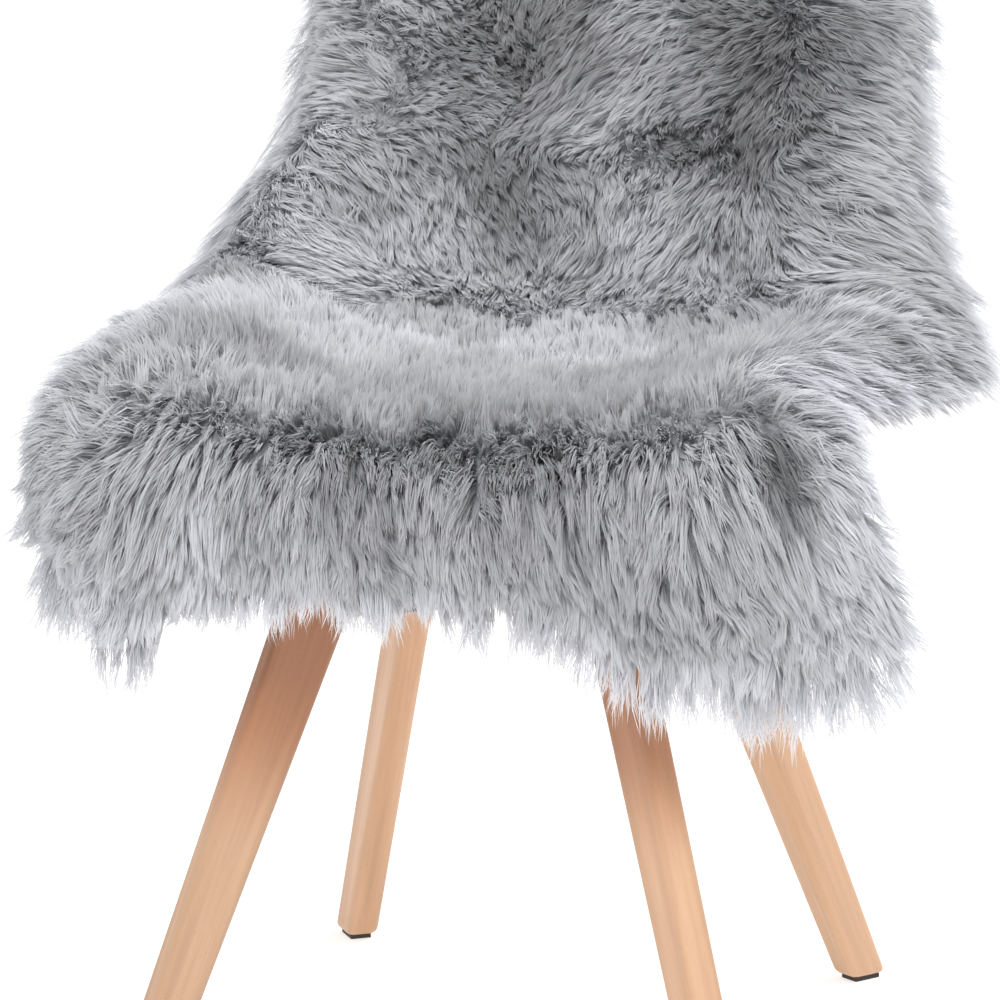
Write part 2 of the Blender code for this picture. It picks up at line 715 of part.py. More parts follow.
# Shell, with four bosses that stand on the underframe's plate.
shell = add_object("seat_shell", shell_mesh(), parts, shell_finish)
wall = shell.modifiers.new("wall", "SOLIDIFY")
wall.thickness = SHELL_THICK
wall.offset = -1.0
stand(shell)
shell.data.shade_smooth()
plate_top = ARM_TOP + PLATE_THICK
for x in (-BOSS_SPREAD[0], BOSS_SPREAD[0]):
    for y in (HUB[1] - BOSS_SPREAD[1], HUB[1] + BOSS_SPREAD[1]):
        top = shell_under(x, y) + BOSS_SINK
        boss = add_object("boss", boss_mesh(plate_top + SEAT_GAP, top), cutters, shell_finish)
        stand(boss, (x, y, 0.0))
        as_cutter(boss)
        add_boolean(shell, boss, "UNION")

# Underframe: a plate on four arms that run to the legs.
half_x, half_y = PLATE_SIZE[0] / 2.0, PLATE_SIZE[1] / 2.0
outline = (-half_x, half_x, -half_y, half_y)
plate = block_mesh("underframe", ((*outline, ARM_TOP - PLATE_LAP), (*outline, plate_top)))
underframe = add_object("underframe", plate, parts, metal)
stand(underframe, (HUB[0], HUB[1], 0.0))
for row in LEG_ROWS:
    arm = add_leg(*row)
    as_cutter(arm)
    add_boolean(underframe, arm, "UNION")
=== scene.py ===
# %% [markdown]
# # A sheepskin rug draped over a shell chair
#
# The rug is one tanned hide with its long grey wool still on it. It hangs over the front of the seat,
# dips into the seat, climbs the back and falls over the top. The chair under it is a plain moulded
# shell on four splayed beech legs.
#
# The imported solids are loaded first. They fix every size and place, and nothing below moves them.

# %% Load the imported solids
import math

import bmesh
import bpy
import numpy as np
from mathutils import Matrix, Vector, kdtree


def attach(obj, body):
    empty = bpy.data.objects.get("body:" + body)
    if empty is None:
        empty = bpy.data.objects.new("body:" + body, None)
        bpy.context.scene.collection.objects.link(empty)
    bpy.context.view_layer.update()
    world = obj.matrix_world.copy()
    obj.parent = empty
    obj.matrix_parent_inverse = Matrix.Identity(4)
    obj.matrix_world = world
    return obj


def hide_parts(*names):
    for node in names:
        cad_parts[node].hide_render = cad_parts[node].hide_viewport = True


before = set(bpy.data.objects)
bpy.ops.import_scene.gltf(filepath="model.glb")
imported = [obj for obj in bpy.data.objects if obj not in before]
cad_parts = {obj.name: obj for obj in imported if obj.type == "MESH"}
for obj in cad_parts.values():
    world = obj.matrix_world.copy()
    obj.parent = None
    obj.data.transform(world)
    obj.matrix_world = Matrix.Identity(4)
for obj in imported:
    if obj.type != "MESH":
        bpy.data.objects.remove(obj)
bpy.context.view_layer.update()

# %% [markdown]
# ## The camera
#
# The photograph was taken with a long lens, from about 1 m above the floor and a little to the right
# of the chair. A long lens shows near and far legs at almost the same size. The camera comes first, so
# that every render shows the same crop: the top of the back and the front feet run out of the picture.

# %% Camera
EYE = Vector((0.9460, -3.1923, 1.0204))
AIM = Vector((0.0045, -0.0896, 0.4059))
SENSOR = 36.0
FOCAL = 171.55


def add_camera():
    """The camera at the photograph's place."""
    data = bpy.data.cameras.new("camera")
    data.sensor_width = SENSOR
    data.lens = FOCAL
    camera = bpy.data.objects.new("camera", data)
    camera.location = EYE
    camera.rotation_euler = (AIM - EYE).to_track_quat("-Z", "Y").to_euler()
    bpy.context.scene.collection.objects.link(camera)
    bpy.context.scene.camera = camera


add_camera()
print(f"camera {(AIM - EYE).length:.2f} m from the rug, focal length {FOCAL} mm")

# %% [markdown]
# ## The way the hide lies
#
# Cloth that rests on a chair is easiest to describe as a path and a section. The path runs in the
# chair's middle plane, from the front hem up over the lip, along the seat, up the back and over its
# top. A table then says, for places along that path, how wide the hide is, how much it dips towards
# the middle, and how steeply its edges fall. These are the same sizes that the solid was made from, so
# everything that grows on the hide lies where the solid lies.

# %% Sizes of the drape
PLACE = np.array((0.002, -0.033, 0.0))  # where the chair's own zero stands
PATH_START = (-0.216, 0.340)  # y and z of the path's first point
PATH_STEP = 0.0005
PATH_SECTIONS = (
    # name, length, heading at its start, heading at its end (0 runs to the rear, 90 runs up)
    ("front_drop", 0.060, 90.0, 90.0),
    ("front_bend", 0.080, 90.0, -6.0),
    ("seat", 0.240, -6.0, 2.0),
    ("crease", 0.160, 2.0, 77.0),
    ("back", 0.250, 77.0, 75.0),
    ("top_bend", 0.062, 75.0, -86.0),
    ("rear_drop", 0.068, -86.0, -92.0),
)
HIDE_ROWS = (
    # along, rim of the shell, left half, right half, dish, fall left, fall right, wool height
    (0.000, 0.205, 0.256, 0.302, 0.0, 22.0, 12.0, 0.036),
    (0.060, 0.208, 0.262, 0.298, 2.0, 20.0, 12.0, 0.042),
    (0.105, 0.212, 0.268, 0.280, 10.0, 14.0, 14.0, 0.045),
    (0.150, 0.216, 0.272, 0.254, 18.0, 4.0, 16.0, 0.047),
    (0.210, 0.220, 0.276, 0.244, 24.0, -4.0, 18.0, 0.048),
    (0.300, 0.224, 0.288, 0.262, 26.0, -4.0, 20.0, 0.048),
    (0.390, 0.226, 0.300, 0.284, 27.0, 2.0, 20.0, 0.045),
    (0.470, 0.222, 0.300, 0.284, 27.0, 14.0, 24.0, 0.041),
    (0.560, 0.205, 0.276, 0.248, 24.0, 28.0, 36.0, 0.040),
    (0.650, 0.184, 0.232, 0.220, 20.0, 42.0, 42.0, 0.040),
    (0.740, 0.180, 0.222, 0.214, 14.0, 44.0, 42.0, 0.041),
    (0.800, 0.165, 0.202, 0.196, 6.0, 34.0, 34.0, 0.042),
    (0.920, 0.120, 0.140, 0.140, 0.0, 14.0, 14.0, 0.038),
)
RIM, LEFT, RIGHT, DISH, FALL_LEFT, FALL_RIGHT, WOOL = range(1, 8)
HEM_ROWS = (
    # across (-1 left edge, 1 right edge), how far the front hem reaches below its middle
    (-1.00, 0.006),
    (-0.80, 0.042),
    (-0.60, 0.008),
    (-0.36, 0.000),
    (0.05, 0.002),
    (0.26, 0.008),
    (0.44, 0.031),
    (0.84, 0.041),
    (1.00, 0.028),
)
DISH_PEAK = 0.80
DISH_CURVE = 1.5
FALL_DONE = 1.14
USUAL_HALF = 0.25
ACROSS_STEPS = 24
HEM_AT, HEM_FADE_AT = 0.056, 0.240
NECK_AT, NECK_FADE_AT, NECK_ROUND = 0.915, 0.800, 0.040
FOLD_DEPTH, FOLD_PITCH, FOLD_TOP_AT = 0.008, 0.135, 0.120
LUMPS = (
    # depth, pitch across, pitch along, turn of phase
    (0.0032, 0.090, 0.120, 0.4),
    (0.0026, 0.061, 0.074, 2.1),
    (0.0018, 0.037, 0.049, 4.4),
)
LUMP_SWIRL, LUMP_SWIRL_PITCH, LUMP_PHASE_ALONG = 0.9, 0.31, 1.7
RIM_TAPER, RIM_TAPER_WIDTH, RIM_LEAN, DROOP = 0.62, 0.045, 0.55, 0.22

# %% Curves through the tables


def smooth(low, high, value):
    """0 below low, 1 above high, with an eased step between."""
    share = np.clip((value - low) / (high - low), 0.0, 1.0)
    return share * share * (3.0 - 2.0 * share)


def through(rows, column, at):
    """A smooth curve through one column of a table, whose first column is the place."""
    places = np.array([row[0] for row in rows])
    values = np.array([row[column] for row in rows])
    slopes = np.gradient(values, places)
    at = np.clip(at, places[0], places[-1])
    low = np.clip(np.searchsorted(places, at) - 1, 0, len(places) - 2)
    span = places[low + 1] - places[low]
    t = (at - places[low]) / span
    start = (2 * t**3 - 3 * t**2 + 1) * values[low] + (t**3 - 2 * t**2 + t) * span * slopes[low]
    end = (3 * t**2 - 2 * t**3) * values[low + 1] + (t**3 - t**2) * span * slopes[low + 1]
    return start + end


def walk_path():
    """Walk the sections in small steps: place along, y, z and heading at each step."""
    along, y, z = [0.0], [PATH_START[0]], [PATH_START[1]]
    heading = [math.radians(PATH_SECTIONS[0][2])]
    for _, length, first, last in PATH_SECTIONS:
        steps = round(length / PATH_STEP)
        for step in range(steps):
            turn = math.radians(first + (last - first) * (step + 0.5) / steps)
            along.append(along[-1] + PATH_STEP)
            y.append(y[-1] + PATH_STEP * math.cos(turn))
            z.append(z[-1] + PATH_STEP * math.sin(turn))
            heading.append(turn)
    return np.array(along), np.array(y), np.array(z), np.array(heading)


PATH = walk_path()
print(f"the hide's middle line is {NECK_AT - HEM_AT:.3f} m long")

# %% [markdown]
# ## The hide and the wool as two surfaces
#
# `hide_at` gives the hide's underside and `wool_at` the outer face of the wool. Both take a place on
# the hide: `u` runs from -1 at the left edge to 1 at the right, and `row` runs along it in metres. The
# wool's face is lumpy, thinner at the rim, leans outwards there and sags where the hide stands upright.

# %% Surfaces


def across_at(arc, along):
    """Sideways place and rise of a point that lies arc from the middle, on the hide's section."""
    side = np.sign(arc)
    rim = through(HIDE_ROWS, RIM, along)
    dish = np.radians(through(HIDE_ROWS, DISH, along))
    fall_left = np.radians(through(HIDE_ROWS, FALL_LEFT, along))
    fall_right = np.radians(through(HIDE_ROWS, FALL_RIGHT, along))
    fall = np.where(arc < 0.0, fall_left, fall_right)
    step = np.abs(arc) / ACROSS_STEPS
    sideways = np.zeros_like(arc)
    rise = np.zeros_like(arc)
    for k in range(ACROSS_STEPS):
        share = (k + 0.5) * step / rim
        over = smooth(DISH_PEAK, FALL_DONE, share)
        slope = dish * np.minimum(share / DISH_PEAK, 1.0) ** DISH_CURVE * (1.0 - over) - fall * over
        sideways += step * np.cos(slope)
        rise += step * np.sin(slope)
    return side * sideways, rise


def along_at(u, row):
    """Place along the path of a point of the hide: the first rows follow the hem, the last the neck."""
    hem = through(HEM_ROWS, 1, u) * (1.0 - smooth(HEM_AT, HEM_FADE_AT, row))
    neck = NECK_ROUND * u**2 * smooth(NECK_FADE_AT, NECK_AT, row)
    return row - hem - neck


def half_width(u, along):
    """The hide's half width on the side of u."""
    return np.where(u < 0.0, through(HIDE_ROWS, LEFT, along), through(HIDE_ROWS, RIGHT, along))


def hide_at(u, row):
    """Points of the hide's underside."""
    along = along_at(u, row)
    arc = u * half_width(u, along)
    sideways, rise = across_at(arc, along)
    wave = 0.5 - 0.5 * np.cos(2.0 * math.pi * arc / FOLD_PITCH)
    rise = rise + FOLD_DEPTH * wave * (1.0 - smooth(HEM_AT, FOLD_TOP_AT, along))
    y, z, turn = (np.interp(along, PATH[0], PATH[column]) for column in (1, 2, 3))
    point = np.stack((sideways, y - np.sin(turn) * rise, z + np.cos(turn) * rise), axis=-1)
    return point + PLACE


def unit(vectors):
    """The vectors at length 1."""
    return vectors / np.maximum(np.linalg.norm(vectors, axis=-1, keepdims=True), 1e-9)


def frame_at(u, row, reach=0.002):
    """Directions across, along and off the hide, by small differences."""
    du = reach / USUAL_HALF
    across = unit(hide_at(u + du, row) - hide_at(u - du, row))
    along = unit(hide_at(u, row + reach) - hide_at(u, row - reach))
    return across, along, unit(np.cross(across, along))


def wool_at(u, row):
    """Points of the wool's outer face."""
    across, along, off = frame_at(u, row)
    place = along_at(u, row)
    width = half_width(u, place)
    near_side = 1.0 - smooth(0.0, RIM_TAPER_WIDTH, (1.0 - np.abs(u)) * width)
    near_hem = 1.0 - smooth(0.0, RIM_TAPER_WIDTH, row - HEM_AT)
    near_neck = 1.0 - smooth(0.0, RIM_TAPER_WIDTH, NECK_AT - row)
    near_rim = np.maximum(near_side, np.maximum(near_hem, near_neck))
    outward = across * (np.sign(u) * near_side)[..., None] + along * (near_neck - near_hem)[..., None]
    height = through(HIDE_ROWS, WOOL, place) * (1.0 - (1.0 - RIM_TAPER) * near_rim)
    for depth, pitch_across, pitch_along, phase in LUMPS:
        swirl = LUMP_SWIRL * np.sin(2.0 * math.pi * row / LUMP_SWIRL_PITCH + phase)
        height = height + depth * (
            np.sin(2.0 * math.pi * u * width / pitch_across + phase + swirl)
            * np.cos(2.0 * math.pi * row / pitch_along + LUMP_PHASE_ALONG * phase)
        )
    down = np.zeros_like(off)
    down[..., 2] = -DROOP * (1.0 - np.abs(off[..., 2]))
    lean = unit(off + RIM_LEAN * outward + down)
    return hide_at(u, row) + lean * height[..., None]


# %% [markdown]
# Hundreds of thousands of fibres ask these surfaces where they are. Working that out anew each time
# would be slow, so the answers are drawn up once on a fine chart and read off it between its points.

# %% Chart of the hide
CHART_SIZE = (201, 431)  # columns across, rows along
CHART_FIELDS = {"under": (0, 3), "wool": (3, 6), "across": (6, 9), "along": (9, 12), "off": (12, 15),
                "half": (15, 16)}


def draw_chart():
    """Every field of the hide on an even grid of u and row."""
    u, row = np.meshgrid(
        np.linspace(-1.0, 1.0, CHART_SIZE[0]), np.linspace(HEM_AT, NECK_AT, CHART_SIZE[1]), indexing="ij"
    )
    under = hide_at(u, row)
    half = half_width(u, along_at(u, row))[..., None]
    return np.concatenate((under, wool_at(u, row) - under, *frame_at(u, row), half), axis=-1)


CHART = draw_chart()


def read_chart(u, row):
    """The chart's fields at places on the hide, as a dictionary."""
    column = (np.clip(u, -1.0, 1.0) + 1.0) / 2.0 * (CHART_SIZE[0] - 1)
    line = (np.clip(row, HEM_AT, NECK_AT) - HEM_AT) / (NECK_AT - HEM_AT) * (CHART_SIZE[1] - 1)
    low_column = np.minimum(column.astype(int), CHART_SIZE[0] - 2)
    low_line = np.minimum(line.astype(int), CHART_SIZE[1] - 2)
    part_column = (column - low_column)[..., None]
    part_line = (line - low_line)[..., None]
    near, far = (
        CHART[at, low_line] * (1.0 - part_line) + CHART[at, low_line + 1] * part_line
        for at in (low_column, low_column + 1)
    )
    value = near * (1.0 - part_column) + far * part_column
    return {name: value[..., first:last] for name, (first, last) in CHART_FIELDS.items()}


print("chart of", CHART_SIZE[0] * CHART_SIZE[1], "points")

# %% [markdown]
# ## Small helpers
#
# Materials are built from nodes by name, so short helpers keep those cells readable.

# %% Helpers


def new_material(name, colour=(0.5, 0.5, 0.5), roughness=0.5, **sockets):
    """A Principled material, its tree and its shader. Other sockets are set by their own names."""
    material = bpy.data.materials.new(name)
    material.use_nodes = True
    tree = material.node_tree
    shader = tree.nodes["Principled BSDF"]
    shader.inputs["Base Color"].default_value = (*colour, 1.0)
    shader.inputs["Roughness"].default_value = roughness
    for socket, value in sockets.items():
        shader.inputs[socket.replace("_", " ")].default_value = value
    return material, tree, shader


def add_node(tree, kind, links=(), **values):
    """A node of a kind. values set sockets by name or properties, and links are (output, socket)."""
    node = tree.nodes.new(kind)
    for name, value in values.items():
        if hasattr(node, name):
            setattr(node, name, value)
        else:
            node.inputs[name.replace("_", " ")].default_value = value
    for output, socket in links:
        tree.links.new(output, node.inputs[socket])
    return node


def add_ramp(tree, factor, stops, smooth_steps=True):
    """A colour ramp. stops are (place, grey or colour)."""
    node = tree.nodes.new("ShaderNodeValToRGB")
    ramp = node.color_ramp
    ramp.interpolation = "EASE" if smooth_steps else "LINEAR"
    while len(ramp.elements) < len(stops):
        ramp.elements.new(0.5)
    for element, (place, colour) in zip(ramp.elements, stops):
        element.position = place
        element.color = (colour, colour, colour, 1.0) if isinstance(colour, float) else (*colour, 1.0)
    tree.links.new(factor, node.inputs["Fac"])
    return node.outputs["Color"]


def add_mix(tree, mode, factor, first, second):
    """A colour mix of two outputs."""
    node = tree.nodes.new("ShaderNodeMix")
    node.data_type = "RGBA"
    node.blend_type = mode
    for value, socket in ((factor, 0), (first, 6), (second, 7)):
        if isinstance(value, float):
            node.inputs[socket].default_value = value
        elif isinstance(value, tuple):
            node.inputs[socket].default_value = (*value, 1.0)
        else:
            tree.links.new(value, node.inputs[socket])
    return node.outputs[2]


def object_place(tree):
    """Places in the piece's own space, in metres."""
    return add_node(tree, "ShaderNodeTexCoord").outputs["Object"]


def add_noise(tree, place, scale, detail, **values):
    """A cloudy pattern over a place, from 0 to 1."""
    node = add_node(tree, "ShaderNodeTexNoise", [(place, "Vector")], Scale=scale, Detail=detail, **values)
    return node.outputs["Fac"]


def add_mapping(tree, place, **values):
    """A place that is moved, turned or scaled. values are Location, Rotation and Scale."""
    node = add_node(tree, "ShaderNodeMapping", [(place, "Vector")])
    for name, value in values.items():
        node.inputs[name].default_value = value
    return node.outputs["Vector"]


def add_bump(tree, shader, height, strength, distance, edge=None):
    """A bump from a height, over a softened edge where one is given."""
    links = [(height, "Height")] + ([(edge, "Normal")] if edge else [])
    bump = add_node(tree, "ShaderNodeBump", links, Strength=strength, Distance=distance)
    tree.links.new(bump.outputs["Normal"], shader.inputs["Normal"])


def show(name, mesh, material):
    """Put a finished mesh in the scene as a piece that rides with the chair."""
    mesh.materials.append(material)
    piece = bpy.data.objects.new(name, mesh)
    bpy.context.scene.collection.objects.link(piece)
    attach(piece, "root")
    return piece


# %% [markdown]
# ## The skin side
#
# Under the wool lies the tanned hide, a sheet of suede about 2 mm thick. It shows from behind and from
# below, so it is a real sheet: a grid laid on the drape, then extruded upwards by its thickness.

# %% Suede
HIDE_THICK = 0.002
HIDE_GRID = (36, 68)  # faces across and along
SUEDE_STOPS = ((0.30, (0.40, 0.38, 0.36)), (0.70, (0.55, 0.53, 0.50)))


def layer_mesh(name, size, finer, u_reach, row_reach, low, high):
    """A closed layer between two surfaces over the hide, and the u and row of each of its points.

    low and high turn what the chart says into points. Each face of the lower side is finer times
    finer faces on the upper one.
    """
    shape = bmesh.new()
    bmesh.ops.create_grid(shape, x_segments=size[0], y_segments=size[1], size=0.5)
    lower = len(shape.verts)
    bmesh.ops.extrude_face_region(shape, geom=shape.faces[:])
    shape.verts.index_update()
    if finer > 1:
        upper_edges = [edge for edge in shape.edges if min(vert.index for vert in edge.verts) >= lower]
        bmesh.ops.subdivide_edges(shape, edges=upper_edges, cuts=finer - 1, use_grid_fill=True)
    flat = np.array([vert.co.xy for vert in shape.verts]) + 0.5
    u = u_reach * (2.0 * flat[:, 0] - 1.0)
    row = row_reach[0] + (row_reach[1] - row_reach[0]) * flat[:, 1]
    chart = read_chart(u, row)
    is_lower = np.arange(len(u)) < lower
    for vert, point in zip(shape.verts, np.where(is_lower[:, None], low(chart), high(chart))):
        vert.co = point
    bmesh.ops.recalc_face_normals(shape, faces=shape.faces)
    mesh = bpy.data.meshes.new(name)
    shape.to_mesh(mesh)
    shape.free()
    mesh.shade_smooth()
    return mesh, u, row


def suede_material():
    """Pale napped leather with soft blotches and a fine nap."""
    material, tree, shader = new_material("suede", roughness=0.95, Sheen_Weight=0.4)
    place = object_place(tree)
    nap = add_noise(tree, place, 420.0, 3.0)
    base = add_ramp(tree, add_noise(tree, place, 9.0, 4.0), SUEDE_STOPS)
    fine = add_ramp(tree, nap, ((0.30, 0.80), (0.70, 1.0)))
    tree.links.new(add_mix(tree, "MULTIPLY", 1.0, base, fine), shader.inputs["Base Color"])
    add_bump(tree, shader, nap, strength=0.35, distance=0.0006)
    return material


hide_mesh, _, _ = layer_mesh(
    "hide", HIDE_GRID, 1, 1.0, (HEM_AT, NECK_AT),
    low=lambda chart: chart["under"],
    high=lambda chart: chart["under"] + chart["off"] * HIDE_THICK,
)
hide = show("hide", hide_mesh, suede_material())
print("hide:", len(hide.data.polygons), "faces")

# %% [markdown]
# ## How the wool is combed
#
# Long wool never lies one way. In the photograph it parts along the front lip and hangs from there, it
# turns round whorls on the back, and it opens down to its roots where two ways meet. The comb table says
# which way the wool lies, how long it is and how light it looks at places read off the photograph, and
# everything between them follows its neighbours. That tone is partly the wool's own lighter and darker
# patches and partly painted light and shade: lighter on the seat, which faces the light above, lighter
# in the shaded crease and folds to make up for their shade, and darker at partings where shade falls. A
# crease is a short stretch where the wool opens, and there its tone is taken down as painted shade. Both
# tables hold whole numbers: lengths in millimetres, widths in tenths of one, and `u`, tone and depth in
# hundredths.

# %% Comb table
COMB = (
    # u, row, turn (0 neck end, 90 right, 180 hem), length, tone (0 dark, 100 light; the wool's own
    # patches with painted light and shade), size
    # front drop
    (-95, 125, -130, 28, 74, 22),
    (-78, 132, -99, 26, 66, 16),
    (-87, 118, -150, 28, 60, 20),
    (-69, 103, -125, 24, 50, 22),
    (-80, 88, -165, 28, 92, 22),
    (-59, 72, -175, 28, 90, 22),
    (-41, 90, -172, 20, 46, 22),
    (-22, 86, 150, 20, 25, 22),
    (-7, 76, 146, 24, 54, 18),
    (-30, 62, 176, 28, 88, 18),
    (10, 88, 152, 20, 37, 22),
    (8, 60, 172, 28, 84, 18),
    (30, 100, 146, 20, 38, 18),
    (27, 83, 156, 22, 36, 18),
    (31, 60, 168, 28, 86, 18),
    (54, 91, 150, 22, 58, 20),
    (66, 112, 164, 22, 54, 20),
    (74, 112, 157, 24, 68, 18),
    (66, 85, 180, 24, 64, 18),
    (64, 60, 174, 30, 89, 18),
    (83, 72, 164, 30, 74, 20),
    (96, 104, 152, 30, 80, 22),
    (98, 75, 145, 30, 89, 22),
    (84, 131, 150, 18, 6, 8),
    # short standing wool along the lip
    (-90, 143, -70, 24, 66, 12),
    (-71, 138, 150, 22, 76, 10),
    (-56, 118, 140, 20, 66, 10),
    (-36, 106, 150, 20, 56, 10),
    (-20, 104, 150, 20, 48, 10),
    (2, 115, 150, 20, 36, 10),
    (20, 122, 160, 20, 64, 10),
    (40, 138, 170, 20, 62, 10),
    (62, 148, 155, 20, 48, 10),
    (80, 150, 130, 20, 52, 10),
    (90, 160, 100, 24, 62, 11),
    # seat
    (-88, 160, -42, 26, 72, 16),
    (-71, 150, -27, 22, 66, 16),
    (-50, 145, -20, 24, 56, 16),
    (-20, 135, -10, 24, 46, 16),
    (10, 145, 0, 24, 29, 16),
    (40, 165, 0, 24, 32, 16),
    (65, 175, 15, 24, 50, 18),
    (94, 205, 80, 30, 95, 18),
    (-72, 210, -35, 28, 38, 28),
    (-25, 210, -10, 26, 43, 28),
    (25, 220, 10, 26, 44, 28),
    (68, 235, 40, 28, 47, 28),
    (-60, 320, -30, 28, 80, 32),
    (-15, 330, 0, 28, 56, 32),
    (35, 340, 15, 28, 42, 32),
    (80, 330, 60, 32, 70, 30),
    (-75, 385, -40, 30, 93, 20),
    (-40, 400, -15, 28, 91, 18),
    (0, 405, 0, 28, 83, 18),
    (20, 410, 10, 28, 83, 14),
    (50, 405, 15, 28, 81, 18),
    (93, 410, 95, 36, 76, 26),
    (90, 362, 125, 26, 68, 12),
    (-97, 250, -80, 32, 90, 28),
    (-97, 350, -85, 32, 94, 28),
    # crease between seat and back
    (-79, 432, -35, 30, 66, 14),
    (-42, 452, -14, 30, 76, 12),
    (-33, 456, -10, 32, 74, 12),
    (-5, 452, -2, 36, 87, 14),
    (12, 458, 5, 38, 88, 14),
    (30, 462, 8, 34, 70, 12),
    (55, 464, 14, 38, 78, 16),
    (80, 466, 40, 36, 82, 16),
    # lower back
    (-97, 490, 150, 34, 84, 20),
    (-89, 551, 125, 34, 90, 22),
    (-82, 587, 112, 34, 92, 20),
    (-73, 546, 122, 36, 94, 20),
    (-78, 505, 125, 34, 74, 18),
    (-66, 490, 136, 34, 100, 18),
    (-59, 583, 138, 34, 70, 16),
    (-56, 560, 155, 34, 100, 16),
    (-47, 532, 140, 30, 100, 14),
    (-48, 590, 138, 30, 76, 14),
    (-38, 555, 145, 32, 90, 14),
    (-31, 612, 148, 32, 32, 18),
    (-20, 590, 146, 32, 31, 16),
    (-15, 560, 146, 34, 56, 18),
    (-16, 520, 155, 32, 90, 16),
    (-6, 606, 125, 32, 60, 14),
    (2, 578, 170, 34, 70, 14),
    (-2, 545, -150, 32, 78, 14),
    (12, 575, 178, 36, 100, 16),
    (14, 530, -170, 30, 94, 16),
    (20, 598, -155, 16, 80, 12),
    (28, 565, -146, 34, 94, 14),
    (36, 590, -150, 32, 72, 14),
    (47, 560, 160, 32, 74, 16),
    (44, 525, 172, 32, 98, 16),
    (70, 548, 142, 36, 90, 22),
    (82, 590, 145, 36, 58, 18),
    (95, 590, 122, 36, 56, 20),
    (92, 550, 142, 36, 56, 20),
    (90, 503, 110, 34, 60, 18),
    (99, 517, 101, 36, 60, 18),
    # upper back
    (-76, 690, -57, 34, 66, 22),
    (-77, 650, -69, 30, 84, 16),
    (-90, 640, 160, 34, 96, 18),
    (-80, 625, 112, 30, 96, 14),
    (-73, 612, 130, 32, 66, 14),
    (-66, 592, 142, 32, 66, 14),
    (-66, 640, 60, 22, 54, 12),
    (-58, 630, 110, 30, 54, 14),
    (-46, 625, 127, 30, 38, 14),
    (-57, 658, 83, 30, 50, 12),
    (-36, 661, 90, 30, 52, 12),
    (-56, 700, 99, 26, 28, 20),
    (-40, 712, 105, 18, 34, 14),
    (-25, 690, 110, 18, 20, 14),
    (-13, 665, -145, 34, 52, 14),
    (-26, 644, -111, 26, 56, 10),
    (-5, 638, -100, 24, 80, 10),
    (-2, 694, -142, 36, 35, 20),
    (10, 662, -134, 34, 79, 18),
    (16, 635, 94, 22, 70, 10),
    (30, 636, 94, 22, 30, 10),
    (35, 675, -131, 32, 48, 18),
    (50, 714, -95, 22, 22, 18),
    (48, 640, 110, 20, 36, 12),
    (62, 640, 165, 26, 28, 12),
    (71, 650, -178, 30, 30, 14),
    (64, 700, 180, 20, 20, 14),
    (78, 705, 157, 18, 5, 16),
    (78, 670, 150, 18, 16, 14),
    (86, 675, 130, 30, 46, 14),
    (86, 721, 108, 30, 24, 14),
    (93, 689, 111, 34, 74, 18),
    (96, 730, 96, 36, 72, 20),
    (80, 620, 130, 30, 50, 14),
    (92, 640, 124, 36, 66, 18),
    (-69, 720, 126, 30, 80, 20),
    (-25, 735, 165, 26, 26, 22),
    (-12, 735, -145, 34, 28, 14),
    (12, 715, -138, 32, 58, 14),
    # side edges
    (-99, 600, 165, 36, 92, 16),
    (-99, 740, -90, 36, 74, 20),
    (99, 590, 105, 36, 80, 16),
    (-98, 150, -105, 34, 78, 20),
    (98, 180, 105, 34, 95, 20),
    (98, 280, 90, 34, 95, 28),
    # over the top and down the rear
    (-50, 790, -30, 30, 50, 30),
    (10, 800, 5, 30, 44, 30),
    (60, 790, 35, 30, 50, 30),
    (-95, 820, -75, 36, 66, 26),
    (95, 820, 75, 36, 66, 26),
    (-50, 865, -18, 36, 54, 30),
    (0, 870, 6, 36, 46, 30),
    (50, 865, 20, 36, 54, 30),
    (-60, 910, -25, 38, 70, 24),
    (0, 912, 0, 38, 70, 24),
    (60, 910, 25, 38, 70, 24),
)
